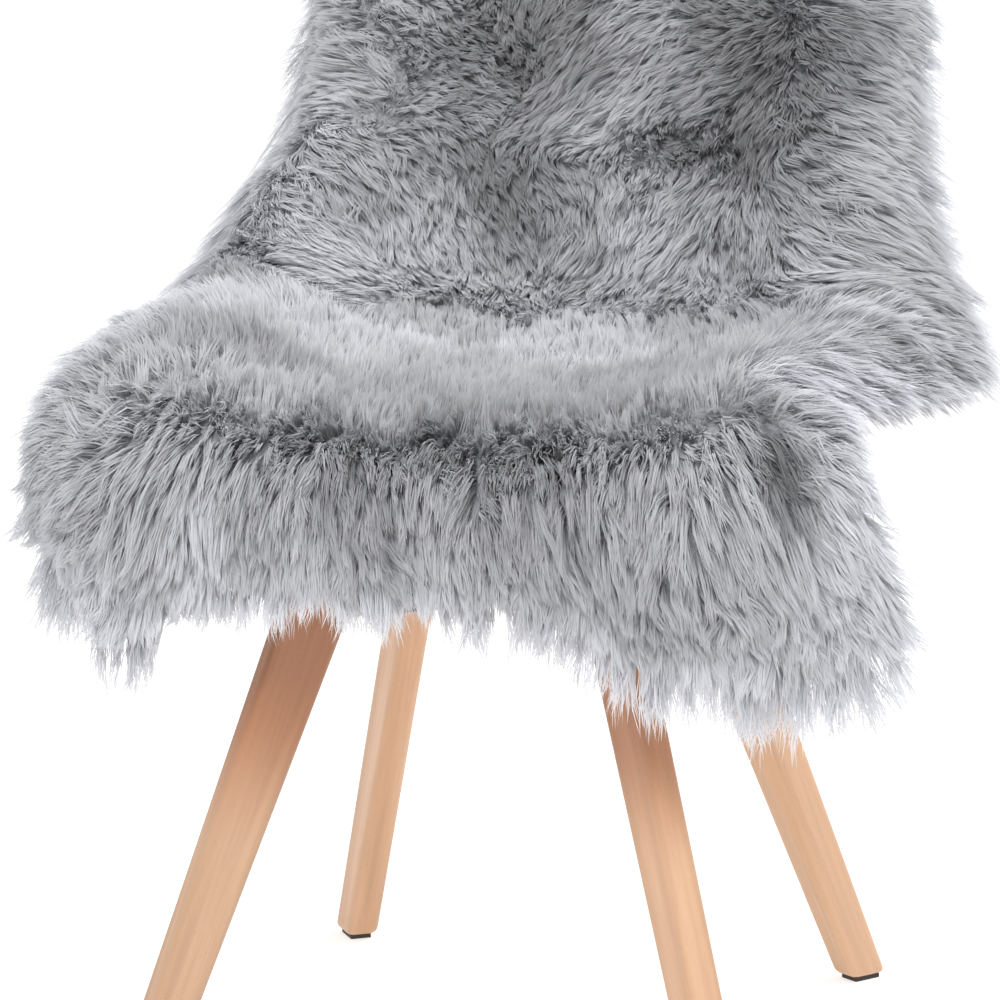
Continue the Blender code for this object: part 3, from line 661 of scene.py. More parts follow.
CREASES = (
    # u, row, turn, length, width, depth (100 opens on the roots; depth also takes tone away as painted
    # shade)
    # along the front lip
    (-92, 141, 75, 22, 24, 60),
    (-85, 147, 119, 20, 26, 60),
    (-71, 138, 137, 18, 28, 60),
    (-56, 110, 99, 20, 24, 50),
    (-51, 117, 122, 22, 28, 45),
    (-36, 97, 82, 16, 26, 80),
    (-20, 97, 119, 26, 32, 90),
    (-23, 88, 142, 14, 26, 70),
    (-8, 104, 110, 16, 26, 70),
    (4, 113, 95, 18, 32, 80),
    (10, 118, 80, 20, 32, 30),
    (17, 121, 95, 16, 26, 30),
    (33, 130, 80, 18, 26, 10),
    (40, 140, 85, 18, 26, 15),
    (55, 148, 100, 24, 32, 80),
    (71, 151, 96, 24, 32, 90),
    (82, 151, 80, 20, 32, 80),
    (85, 133, 155, 34, 110, 100),
    (90, 122, 165, 18, 32, 80),
    # front drop
    (-8, 78, 147, 18, 24, 70),
    (-5, 73, 143, 14, 22, 60),
    (66, 87, -175, 14, 32, 50),
    (-69, 103, -114, 16, 22, 40),
    (27, 90, 150, 18, 24, 40),
    # seat's right lobe
    (90, 366, 129, 16, 32, 40),
    (96, 356, 135, 18, 32, 35),
    # crease between seat and back
    (-79, 437, 111, 30, 60, 50),
    (-46, 486, 150, 16, 40, 30),
    (-33, 491, 93, 40, 60, 10),
    (-3, 494, 145, 10, 40, 70),
    (27, 497, 95, 22, 40, 70),
    # lower back
    (-89, 551, 112, 24, 32, 40),
    (-20, 600, 140, 30, 34, 50),
    (-15, 573, 143, 30, 34, 50),
    (-10, 555, 150, 25, 32, 50),
    (20, 600, -155, 22, 60, 30),
    (47, 564, 143, 18, 34, 60),
    (80, 583, 150, 14, 34, 60),
    (90, 503, 102, 20, 32, 40),
    (95, 495, 100, 18, 32, 40),
    # upper back
    (-72, 619, 152, 16, 40, 80),
    (-74, 650, 16, 16, 42, 60),
    (-69, 655, 34, 10, 42, 60),
    (-67, 641, 61, 24, 34, 50),
    (-53, 701, 99, 12, 42, 80),
    (-28, 682, 108, 30, 80, 50),
    (16, 635, 94, 45, 36, 40),
    (30, 636, 94, 30, 34, 35),
    (58, 710, 100, 20, 42, 50),
    (76, 617, 89, 20, 42, 80),
    (80, 632, 128, 20, 42, 60),
    (86, 675, 130, 22, 42, 70),
    (86, 721, 108, 30, 42, 60),
)
COMB_UNITS = (100, 1000, 1, 1000, 100, 1000)  # what each column is divided by
CREASE_UNITS = (100, 1000, 1, 1000, 10000, 100)
COMB_USUAL = 0.024  # a row with a smaller size counts for more, close by
COMB_FAR = 1e-5  # what every row counts for, however far away
CREASE_PAINTED_SHADE = 0.78  # painted shade: how much of its tone a full crease takes away


def in_units(rows, units):
    """The rows of a table with every column divided by its unit."""
    return [tuple(value / unit for value, unit in zip(row, units)) for row in rows]


COMB = in_units(COMB, COMB_UNITS)
CREASES = in_units(CREASES, CREASE_UNITS)


def comb_at(u, row):
    """Length across, length along and tone (with painted light and shade) of the wool at places on the hide.
    """
    total = np.full(len(u), 1e-9)
    across, along, tone = np.zeros(len(u)), np.zeros(len(u)), np.zeros(len(u))
    half = read_chart(u, row)["half"][:, 0]
    for at_u, at_row, turn, length, shade, size in COMB:
        distance = ((u - at_u) * half) ** 2 + (row - at_row) ** 2
        weight = COMB_USUAL / size * np.exp(-distance / (2.0 * size**2)) + COMB_FAR
        total += weight
        across += weight * length * math.sin(math.radians(turn))
        along += weight * length * math.cos(math.radians(turn))
        tone += weight * shade
    return across / total, along / total, tone / total


def crease_at(u, row):
    """How far the wool opens at places on the hide, from 0 to 1."""
    open_by = np.zeros(len(u))
    half = read_chart(u, row)["half"][:, 0]
    for at_u, at_row, turn, length, width, depth in CREASES:
        sin, cos = math.sin(math.radians(turn)), math.cos(math.radians(turn))
        right, up = (u - at_u) * half, row - at_row
        ahead, aside = right * sin + up * cos, right * cos - up * sin
        share = (ahead / (length / 2.0)) ** 4 + (aside / width) ** 2
        open_by = np.maximum(open_by, depth * np.exp(-share))
    return open_by


print(len(COMB), "places in the comb table and", len(CREASES), "creases")

# %% [markdown]
# ## The underwool
#
# A fleece is far too dense to see through: between the locks one sees only shade. A closed layer, a
# little over half as high as the wool and darker as painted shade, stands in for that dense growth, and
# the locks rise out of it. It carries the comb table's tone and the creases' painted shade, so that it is
# darkest where the fleece is.

# %% Underwool
UNDER_SHARE = 0.60  # its height, as a share of the wool's
UNDER_LIFT = 0.0026  # its lower side, just above the hide
UNDER_GRID = (25, 44)
UNDER_FINER = 3  # nobody sees the layer's lower side, so only the upper is fine
UNDER_INSET = 0.012  # how far it stays inside the hide's edge
# painted shade: the layer's colours, darker than the fibres, for the shade between the locks
UNDER_PAINTED_SHADE_STOPS = ((0.05, (0.120, 0.122, 0.134)), (1.0, (0.520, 0.524, 0.550)))


def underwool_material():
    """Dense wool in the shade: a fine felt of short fibres."""
    material, tree, shader = new_material("underwool", roughness=1.0, Specular_IOR_Level=0.1)
    felt = add_noise(tree, object_place(tree), 260.0, 5.0, Roughness=0.7)
    tone = add_node(tree, "ShaderNodeAttribute", attribute_name="tone").outputs["Fac"]
    base = add_ramp(tree, tone, UNDER_PAINTED_SHADE_STOPS, smooth_steps=False)
    fine = add_ramp(tree, felt, ((0.35, 0.70), (0.68, 1.15)))
    tree.links.new(add_mix(tree, "MULTIPLY", 1.0, base, fine), shader.inputs["Base Color"])
    add_bump(tree, shader, felt, strength=0.9, distance=0.003)
    return material


underwool_mesh, under_u, under_row = layer_mesh(
    "underwool", UNDER_GRID, UNDER_FINER, 1.0 - UNDER_INSET / USUAL_HALF,
    (HEM_AT + UNDER_INSET, NECK_AT - UNDER_INSET),
    low=lambda chart: chart["under"] + chart["off"] * UNDER_LIFT,
    high=lambda chart: chart["under"] + chart["wool"] * UNDER_SHARE,
)
# the comb tone carries painted light and shade, and a crease takes tone away as painted shade
under_tone = comb_at(under_u, under_row)[2] * (1.0 - CREASE_PAINTED_SHADE * crease_at(under_u, under_row))
under_layer = underwool_mesh.attributes.new("tone", "FLOAT", "POINT")
under_layer.data.foreach_set("value", under_tone.astype(np.float32))
underwool = show("underwool", underwool_mesh, underwool_material())
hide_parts("sheepskin")
print("underwool:", len(underwool.data.polygons), "faces")

# %% [markdown]
# ## Locks and fibres
#
# Wool grows in locks. Fibres that root close together lean on each other and end in one tip, and
# several small locks make a larger one. So the roots are sown twice: large locks about 12 mm apart, and
# small ones about 4 mm apart that each lean towards their large one. Every fibre then leans towards
# its small lock, more and more towards the tip.

# %% Sowing
LOCK_PITCH = 0.012
SMALL_PITCH = 0.0038
GATHER_SMALL = 0.55  # how far a fibre's tip has moved to its small lock's middle
GATHER_LARGE = 0.35
ZONES = (
    # name, end along the hide, fibres in each small lock
    ("wool_front", 0.148, 17),
    ("wool_seat", 0.425, 6),
    ("wool_lower_back", 0.590, 10),
    ("wool_upper_back", 0.745, 11),
    ("wool_top", NECK_AT, 5),
)
SEED = 7
SOW_UNEVEN = (-0.45, 0.45)  # how far a place strays, in pitches
LARGE_TONE, LARGE_TURN = 0.04, 0.14  # how much large locks differ in tone and turn
LARGE_HEIGHT, LARGE_LENGTH = (0.84, 1.06), (0.82, 1.18)
rng = np.random.default_rng(SEED)


def sow(pitch, first, last):
    """Places about a pitch apart, unevenly, over the rows of the hide from first to last."""
    u, row = [], []
    for at in np.arange(first + pitch / 2.0, last, pitch):
        half = read_chart(np.array([-0.5, 0.5]), np.array([at, at]))["half"][:, 0].mean()
        count = int(2.0 * half / pitch)
        spread = (np.arange(count) + 0.5 + rng.uniform(*SOW_UNEVEN, count)) / count
        u.append(2.0 * spread - 1.0)
        row.append(at + rng.uniform(*SOW_UNEVEN, count) * pitch)
    return np.concatenate(u), np.clip(np.concatenate(row), HEM_AT, NECK_AT)


def nearest(u, row, to_u, to_row):
    """For each place, the number of the nearest place of another sowing."""
    tree = kdtree.KDTree(len(to_u))
    for number, (x, y) in enumerate(zip(to_u * USUAL_HALF, to_row)):
        tree.insert((x, y, 0.0), number)
    tree.balance()
    return np.array([tree.find((x, y, 0.0))[1] for x, y in zip(u * USUAL_HALF, row)])


large_u, large_row = sow(LOCK_PITCH, HEM_AT, NECK_AT)
large = {
    "tone": rng.normal(0.0, LARGE_TONE, len(large_u)),
    "height": rng.uniform(*LARGE_HEIGHT, len(large_u)),
    "turn": rng.normal(0.0, LARGE_TURN, len(large_u)),
    "length": rng.uniform(*LARGE_LENGTH, len(large_u)),
}
print(len(large_u), "large locks")

# %% [markdown]
# A fibre's line is followed on the hide itself: from its root it runs the way the comb says, rises
# through the wool and ends near its outer face. Past the rim there is no hide any more, so the line
# goes straight on and falls.

# %% Lines of the fibres
LIES_FLAT = 0.62  # share of a fibre's length that lies along the hide
RISE_POWER = 1.35  # above 1, fibres rise early and bend over
RIM_FALL = 0.55  # fall for each metre past the rim
LOCK_SWING = 0.16  # how far neighbouring locks differ in turn, in radians
STANDING_SWING = 1.2  # and how much more they do where the wool stands up
STANDING_LENGTH = 0.010
SMALL_LENGTH = (0.82, 1.18)  # shortest and longest small lock, as shares
SMALL_TOP = (0.80, 1.08)  # and the heights of their tips
SMALL_TONE, FIBRE_TONE = 0.040, 0.018  # how much small locks, and fibres in one, differ in tone
CREASE_LOW = 0.3  # how much lower the wool stands in a full crease
SCATTER = 0.60  # how far fibres root from their small lock's middle, in pitches
STRAY = 0.0010  # how far their tips stray from it
FIBRE_LENGTH = (0.70, 1.12)  # a fibre's length, as shares of its small lock's
FIBRE_ROOT = (0.40, 0.58)  # height of its root, as shares of the wool's height
FIBRE_TIP = (0.90, 1.06)  # height of its tip, as shares of its small lock's
LEAST_RISE = 0.15
SWIRLS = (
    # turn in radians, pitch across, pitch along, turn of phase
    (0.16, 0.055, 0.070, 0.9),
    (0.10, 0.031, 0.037, 3.1),
)
HANG = (
    # across, how far the wool hangs below the front hem
    (-1.00, 0.110),
    (-0.82, 0.110),
    (-0.76, 0.080),
    (-0.72, 0.020),
    (-0.66, 0.018),
    (-0.58, 0.045),
    (-0.45, 0.080),
    (0.00, 0.120),
    (0.45, 0.120),
    (0.75, 0.110),
    (1.00, 0.130),
)


def on_hide(u, row, height):
    """Points over the hide at a share of the wool's height, going on past the rim."""
    chart = read_chart(u, row)
    past_u = (u - np.clip(u, -1.0, 1.0))[..., None] * chart["half"]
    past_row = (row - np.clip(row, HEM_AT, NECK_AT))[..., None]
    point = chart["under"] + chart["wool"] * height[..., None]
    point = point + chart["across"] * past_u + chart["along"] * past_row
    point[..., 2] -= RIM_FALL * np.hypot(past_u, past_row)[..., 0]
    return point, chart["off"]


def held_back(u, row):
    """Rows of wool that hangs below the front hem, drawn up so that it hangs no further than HANG."""
    reach = through(HANG, 1, np.clip(u, -1.0, 1.0))
    below = np.maximum(HEM_AT - row, 0.0)
    return np.where(below > 0.0, HEM_AT - reach * (1.0 - np.exp(-below / reach)), row)


def step_from(u, row, swing, length):
    """How far across and along the hide wool that roots at a place reaches after a length."""
    across, along, _ = comb_at(u, row)
    for turn, pitch_across, pitch_along, phase in SWIRLS:
        half = read_chart(u, row)["half"][:, 0]
        swing = swing + turn * (
            np.sin(2.0 * math.pi * u * half / pitch_across + phase)
            * np.cos(2.0 * math.pi * row / pitch_along + 2.0 * phase)
        )
    ahead = length * (across * np.cos(swing) + along * np.sin(swing))
    upward = length * (along * np.cos(swing) - across * np.sin(swing))
    return ahead, upward


def fibre_lines(small_u, small_row, parent, each):
    """Points of every fibre from root to tip, the directions off the hide there, and each one's tone."""
    count = len(small_u)
    half = read_chart(small_u, small_row)["half"][:, 0]
    standing = np.exp(-np.hypot(*comb_at(small_u, small_row)[:2]) / STANDING_LENGTH)
    swing = large["turn"][parent] + rng.normal(0.0, 1.0, count) * (LOCK_SWING + STANDING_SWING * standing)
    length = LIES_FLAT * large["length"][parent] * rng.uniform(*SMALL_LENGTH, count)
    first_u, first_row = step_from(small_u, small_row, swing, length / 2.0)
    middle_u, middle_row = small_u + first_u / half, small_row + first_row
    last_u, last_row = step_from(middle_u, middle_row, swing, length / 2.0)
    opened = crease_at(middle_u, middle_row)
    # painted shade: a crease takes tone away; the comb tone carries painted light and shade too
    tone = comb_at(middle_u, middle_row)[2] * (1.0 - CREASE_PAINTED_SHADE * opened)
    tone = tone + large["tone"][parent] + rng.normal(0.0, SMALL_TONE, count)
    top = large["height"][parent] * rng.uniform(*SMALL_TOP, count) * (1.0 - CREASE_LOW * opened)

    pick = np.repeat(np.arange(count), each)
    fibres = len(pick)
    offsets = [rng.uniform(-SCATTER, SCATTER, fibres) * SMALL_PITCH for _ in range(2)]
    strays = rng.normal(0.0, STRAY, (2, fibres))
    reach = rng.uniform(*FIBRE_LENGTH, fibres)[:, None]
    root = rng.uniform(*FIBRE_ROOT, fibres)
    tip = np.maximum(top[pick] * rng.uniform(*FIBRE_TIP, fibres), root + LEAST_RISE)
    levels = np.array((0.0, 0.5, 1.0))[None, :]
    has_first = np.array((0.0, 1.0, 1.0))[None, :]
    has_last = np.array((0.0, 0.0, 1.0))[None, :]

    def run(first, last, to_large, offset, stray):
        """Metres from the small lock's middle at each level, across or along the hide."""
        return (
            (first[pick][:, None] * has_first + last[pick][:, None] * has_last) * reach
            - to_large[pick][:, None] * GATHER_LARGE * levels
            + offset[:, None] * (1.0 - GATHER_SMALL * levels)
            + stray[:, None] * levels
        )

    metres_u = run(first_u, last_u, (small_u - large_u[parent]) * half, offsets[0], strays[0])
    metres_row = run(first_row, last_row, small_row - large_row[parent], offsets[1], strays[1])
    u = small_u[pick][:, None] + metres_u / half[pick][:, None]
    row = held_back(u, small_row[pick][:, None] + metres_row)
    height = root[:, None] + (tip - root)[:, None] * (1.0 - (1.0 - levels) ** RISE_POWER)
    points, off = on_hide(u, row, height)
    return points, off, tone[pick] + rng.normal(0.0, FIBRE_TONE, fibres)


# %% [markdown]
# ## One fibre, repeated
#
# A fibre is modelled once, as a narrow strip that ends in a point: a grid one face wide whose last edge
# is merged. Its points and faces are then repeated by arrays, one copy for each line, and every zone of
# the rug becomes a single joined mesh. The map on each copy says how light the fibre is (across) and
# how far along it a point lies (up), and the material reads nothing else.

# %% Fibre strips
FIBRE_WIDTH = 0.00120
WIDTH_UNEVEN = (0.75, 1.25)
TONE_STEP = 0.030  # how much of the map's width one fibre takes
ROOT_TAPER = 0.80  # width at the root, as a share of the width further on
ROLL = 0.55  # how far strips turn about their own line, in radians
LET_THROUGH = 0.45  # share of the light that goes on through a fibre
SOFT_SHADE = 0.82  # how much the light takes a fibre as part of the fleece
MAP_MARGIN = 0.02
WOOL_SHADES = (
    # place from root to tip, colour: darker towards the root, as painted shade deep in the fleece
    (0.0, (0.46, 0.463, 0.486)),
    (0.35, (0.57, 0.574, 0.600)),
    (0.70, (0.68, 0.684, 0.710)),
    (1.0, (0.76, 0.764, 0.784)),
)
WOOL_TONES = ((0.0, 0.30), (0.30, 0.62), (0.60, 0.90), (1.0, 1.22))


def fibre_pattern(levels):
    """A strip's points as side and level, and its triangles."""
    shape = bmesh.new()
    bmesh.ops.create_grid(shape, x_segments=1, y_segments=levels - 1, size=0.5)
    end = [vert for vert in shape.verts if vert.co.y > 0.5 - 1e-4]
    bmesh.ops.pointmerge(shape, verts=end, merge_co=Vector((0.0, 0.5, 0.0)))
    bmesh.ops.triangulate(shape, faces=shape.faces[:])
    shape.verts.index_update()
    side = np.array([2.0 * vert.co.x for vert in shape.verts])
    level = np.array([round((vert.co.y + 0.5) * (levels - 1)) for vert in shape.verts])
    faces = np.array([[vert.index for vert in face.verts] for face in shape.faces])
    shape.free()
    return side, level, faces


def strip_mesh(name, points, off, tone, width):
    """One joined mesh of strips, a copy of the pattern along each line."""
    fibres, levels = points.shape[:2]
    side, level, faces = fibre_pattern(levels)
    ahead = unit(np.gradient(points, axis=1))
    flat = unit(np.cross(ahead, off))
    roll = rng.uniform(-ROLL, ROLL, fibres)[:, None, None]
    across = flat * np.cos(roll) + np.cross(ahead, flat) * np.sin(roll)
    face_way = np.cross(across, ahead)
    taper = np.ones(levels)
    taper[0], taper[-1] = ROOT_TAPER, 0.0
    half = (width[:, None] / 2.0) * (taper[level] * side)[None, :]
    verts = points[:, level] + across[:, level] * half[..., None]
    normals = unit(SOFT_SHADE * off[:, level] + (1.0 - SOFT_SHADE) * face_way[:, level])
    faces = (faces[None] + (np.arange(fibres) * len(level))[:, None, None]).reshape(-1, 3)
    mesh = bpy.data.meshes.new(name)
    mesh.from_pydata(verts.reshape(-1, 3), [], faces)
    tone = np.clip(tone, TONE_STEP, 1.0 - TONE_STEP)[:, None]
    across_map = tone + side[None, :] * TONE_STEP / 2.0
    up_map = MAP_MARGIN + (1.0 - 2.0 * MAP_MARGIN) * level / (levels - 1)
    up_map = np.broadcast_to(up_map, across_map.shape)
    both = np.stack((across_map, up_map), axis=-1).reshape(-1, 2)
    layer = mesh.uv_layers.new(name="OFBake")
    layer.uv.foreach_set("vector", both[faces.ravel()].astype(np.float32).ravel())
    mesh.normals_split_custom_set_from_vertices(normals.reshape(-1, 3))
    return mesh


def wool_material():
    """Fibres darker at the root as painted shade, light at the tip, and darker or lighter as a whole by
    tone.
    """
    material, tree, shader = new_material("wool", roughness=0.85, Sheen_Weight=0.15, Specular_IOR_Level=0.15)
    place = add_node(tree, "ShaderNodeUVMap", uv_map="OFBake").outputs["UV"]
    parts = add_node(tree, "ShaderNodeSeparateXYZ", [(place, "Vector")])
    # painted shade: each fibre darker towards its root, deep in the fleece
    along = add_ramp(tree, parts.outputs["Y"], WOOL_SHADES)
    tone = add_ramp(tree, parts.outputs["X"], WOOL_TONES)
    fine = add_noise(tree, add_mapping(tree, place, Scale=(260.0, 3.0, 1.0)), 1.0, 2.0)
    streak = add_ramp(tree, fine, ((0.30, 0.92), (0.70, 1.04)))
    colour = add_mix(tree, "MULTIPLY", 1.0, add_mix(tree, "MULTIPLY", 1.0, along, tone), streak)
    tree.links.new(colour, shader.inputs["Base Color"])
    through_it = add_node(tree, "ShaderNodeBsdfTranslucent", [(colour, "Color")])
    both = add_node(tree, "ShaderNodeMixShader", Fac=LET_THROUGH)
    tree.links.new(shader.outputs["BSDF"], both.inputs[1])
    tree.links.new(through_it.outputs["BSDF"], both.inputs[2])
    tree.links.new(both.outputs["Shader"], tree.nodes["Material Output"].inputs["Surface"])
    return material


wool = wool_material()

# %% Grow the wool
start = HEM_AT
for zone, end, each in ZONES:
    small_u, small_row = sow(SMALL_PITCH, start, end)
    parent = nearest(small_u, small_row, large_u, large_row)
    points, off, tone = fibre_lines(small_u, small_row, parent, each)
    width = FIBRE_WIDTH * rng.uniform(*WIDTH_UNEVEN, len(points))
    piece = show(zone, strip_mesh(zone, points, off, tone, width), wool)
    print(f"{zone}: {len(points)} fibres, {len(piece.data.polygons)} triangles")
    start = end

# %% [markdown]
# ## The rim
#
# Round its edge the fleece has no neighbour to lean on. There the fibres root on the cut edge itself,
# stick out, hang down and thin out, which gives the rug its soft pale outline.

# %% Rim wool
RIM_FIBRES_PER_M = 10000
RIM_LEVELS = 5  # points along a fibre, root to tip
RIM_SAMPLES = 600  # steps in which an edge is measured
RIM_CROWD = 3  # locks in each small pitch of the edge
RIM_HEIGHT = (0.02, 0.60)  # where locks root, as shares of the wool's height
RIM_TURN, RIM_FIBRE_TURN = 0.17, 0.08  # how much locks, and fibres in one, differ in turn
RIM_RUN, RIM_FIBRE_RUN = (0.70, 1.20), (0.60, 1.12)
RIM_TONE, RIM_TONE_UNEVEN = 0.84, 0.05
RIM_GATHER, RIM_GATHER_POWER = 0.8, 1.2  # how far a fibre moves to its lock's middle, and how late
RIM_INSET = 0.006  # roots lie up to this far inside the edge
RIM_BASE = (0.85, 1.15)
RIM_RISE = 0.35  # how much higher the tip lies than the root
RIM_WIDTH = (0.30, 0.75)
WAVE_WIDTH = 0.0020  # sideways swing of a wavy lock
WAVE_LENGTH = 0.030


def side_strips(side):
    """The solid's strips of locks along one side."""
    return tuple(f"locks_{stretch}_{side}" for stretch in ("drop", "seat", "crease", "back", "top"))


RIM_ZONES = (
    # name, fixed u or None, fixed row or None, the strips it stands for
    ("rim_front", None, HEM_AT, ("locks_front_left", "locks_front_middle", "locks_front_right")),
    ("rim_neck", None, NECK_AT, ("locks_neck",)),
    ("rim_left", -1.0, None, side_strips("left")),
    ("rim_right", 1.0, None, side_strips("right")),
)
RIM_ROWS = {
    # place along the edge, turn, how far the wool runs out
    "rim_front": (
        (-1.00, 216, 0.070), (-0.93, 206, 0.064), (-0.86, 194, 0.054), (-0.66, 180, 0.044),
        (-0.34, 180, 0.036), (0.10, 169, 0.036), (0.19, 180, 0.038), (0.28, 191, 0.038),
        (0.45, 180, 0.046), (0.70, 178, 0.044), (0.85, 172, 0.054), (1.00, 146, 0.060),
    ),
    "rim_neck": ((-1.00, -34, 0.030), (-0.60, 0, 0.030), (0.60, 0, 0.030), (1.00, 34, 0.030)),
    "rim_left": (
        (HEM_AT, -142, 0.068), (0.08, -125, 0.046), (0.12, -104, 0.030), (0.17, -84, 0.046),
        (0.26, -84, 0.050), (0.38, -90, 0.024), (0.45, -92, 0.030), (0.51, -96, 0.064),
        (0.62, -92, 0.092), (0.74, -92, 0.076), (0.80, -90, 0.036), (NECK_AT, -66, 0.030),
    ),
    "rim_right": (
        (HEM_AT, 122, 0.036), (0.10, 104, 0.032), (0.14, 90, 0.030), (0.33, 90, 0.018),
        (0.42, 92, 0.022), (0.50, 96, 0.044), (0.62, 98, 0.044), (0.74, 94, 0.036),
        (0.80, 90, 0.030), (NECK_AT, 66, 0.029),
    ),
}


def rim_lines(fixed_u, fixed_row, edge_rows):
    """Lines of the fibres that root on one edge."""
    low, high = edge_rows[0][0], edge_rows[-1][0]
    fine = np.linspace(low, high, RIM_SAMPLES)
    still = np.full_like(fine, fixed_u if fixed_u is not None else fixed_row)
    edge = read_chart(still, fine)["under"] if fixed_u is not None else read_chart(fine, still)["under"]
    walked = np.concatenate(([0.0], np.cumsum(np.linalg.norm(np.diff(edge, axis=0), axis=1))))
    fibres = int(walked[-1] * RIM_FIBRES_PER_M)
    locks = int(walked[-1] / SMALL_PITCH * RIM_CROWD)
    lock_at = rng.uniform(0.0, walked[-1], locks)
    lock = {
        "height": rng.uniform(*RIM_HEIGHT, locks),
        "turn": rng.normal(0.0, RIM_TURN, locks),
        "run": rng.uniform(*RIM_RUN, locks),
        "tone": rng.normal(RIM_TONE, RIM_TONE_UNEVEN, locks),
        "phase": rng.uniform(0.0, 2.0 * math.pi, locks),
    }
    pick = rng.integers(0, locks, fibres)
    at = lock_at[pick] + rng.uniform(-SCATTER, SCATTER, fibres) * SMALL_PITCH
    place = np.interp(at, walked, fine)
    centre = np.interp(lock_at[pick], walked, fine)
    levels = np.linspace(0.0, 1.0, RIM_LEVELS)[None, :]
    turn = np.radians(through(edge_rows, 1, place)) + lock["turn"][pick]
    turn = turn + rng.normal(0.0, RIM_FIBRE_TURN, fibres)
    run = through(edge_rows, 2, place) * lock["run"][pick] * rng.uniform(*RIM_FIBRE_RUN, fibres)
    gather = (centre - place)[:, None] * RIM_GATHER * levels**RIM_GATHER_POWER
    inset = rng.uniform(0.0, RIM_INSET, fibres)
    wave = WAVE_WIDTH * levels * np.sin(
        2.0 * math.pi * levels * (run / WAVE_LENGTH)[:, None] + lock["phase"][pick][:, None]
    )
    root_u = place if fixed_u is None else np.full(fibres, fixed_u)
    root_row = place if fixed_row is None else np.full(fibres, fixed_row)
    half = read_chart(root_u, root_row)["half"]
    sin, cos = np.sin(turn)[:, None], np.cos(turn)[:, None]
    out = run[:, None] * levels - inset[:, None]
    u = root_u[:, None] + (sin * out + cos * wave) / half
    row = root_row[:, None] + cos * out - sin * wave
    if fixed_u is None:
        u = u + gather
    else:
        row = row + gather
    base = lock["height"][pick] * rng.uniform(*RIM_BASE, fibres)
    height = base[:, None] * (1.0 + RIM_RISE * levels)
    points, off = on_hide(u, held_back(u, row), height)
    return points, off, lock["tone"][pick] + rng.normal(0.0, RIM_TONE_UNEVEN, fibres)


for zone, fixed_u, fixed_row, stands_for in RIM_ZONES:
    points, off, tone = rim_lines(fixed_u, fixed_row, RIM_ROWS[zone])
    width = FIBRE_WIDTH * rng.uniform(*RIM_WIDTH, len(points))
    piece = show(zone, strip_mesh(zone, points, off, tone, width), wool)
    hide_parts(*stands_for)
    print(f"{zone}: {len(points)} fibres, {len(piece.data.polygons)} triangles")

# %% [markdown]
# ## Beech legs
#
# The legs are straight-grained beech under a clear matt lacquer. The grain runs along each leg, so
# each leg has its own material, with the pattern turned to stand along that leg. The front legs carry
# painted shade near the seat, darker and browner where the rug overhangs them, and every leg is painted
# lighter or darker as a whole for the light it gets: the rear legs are painted lighter.

# %% Beech
LEG_LINES = (
    # name, foot x, foot y, top x, top y, in the chair's own frame, how much painted shade darkens and
    # browns the leg's top, how much lighter or darker the whole leg is painted (painted light and shade)
    ("leg_front_left", -0.210, -0.219, -0.096, -0.122, 1.0, 0.88),
    ("leg_front_right", 0.210, -0.219, 0.096, -0.122, 0.9, 1.00),
    ("leg_back_left", -0.200, 0.227, -0.096, 0.084, 0.1, 1.22),
    ("leg_back_right", 0.200, 0.227, 0.096, 0.084, 0.1, 1.14),
)
LEG_TOP = 0.380
GRAIN_STRETCH, FLECK_STRETCH = 0.045, 0.22  # scale along the leg: smaller makes longer marks
BEECH_COLOURS = ((0.49, 0.282, 0.163), (0.60, 0.374, 0.235))
PAINTED_SHADE_WANDER = 0.08  # how unevenly the painted shade on the top begins, in metres
# painted shade: the leg's top darker and browner, where the rug overhangs it
PAINTED_SHADE_STOPS = ((0.22, (1.0, 1.0, 1.0)), (0.32, (0.74, 0.54, 0.45)))


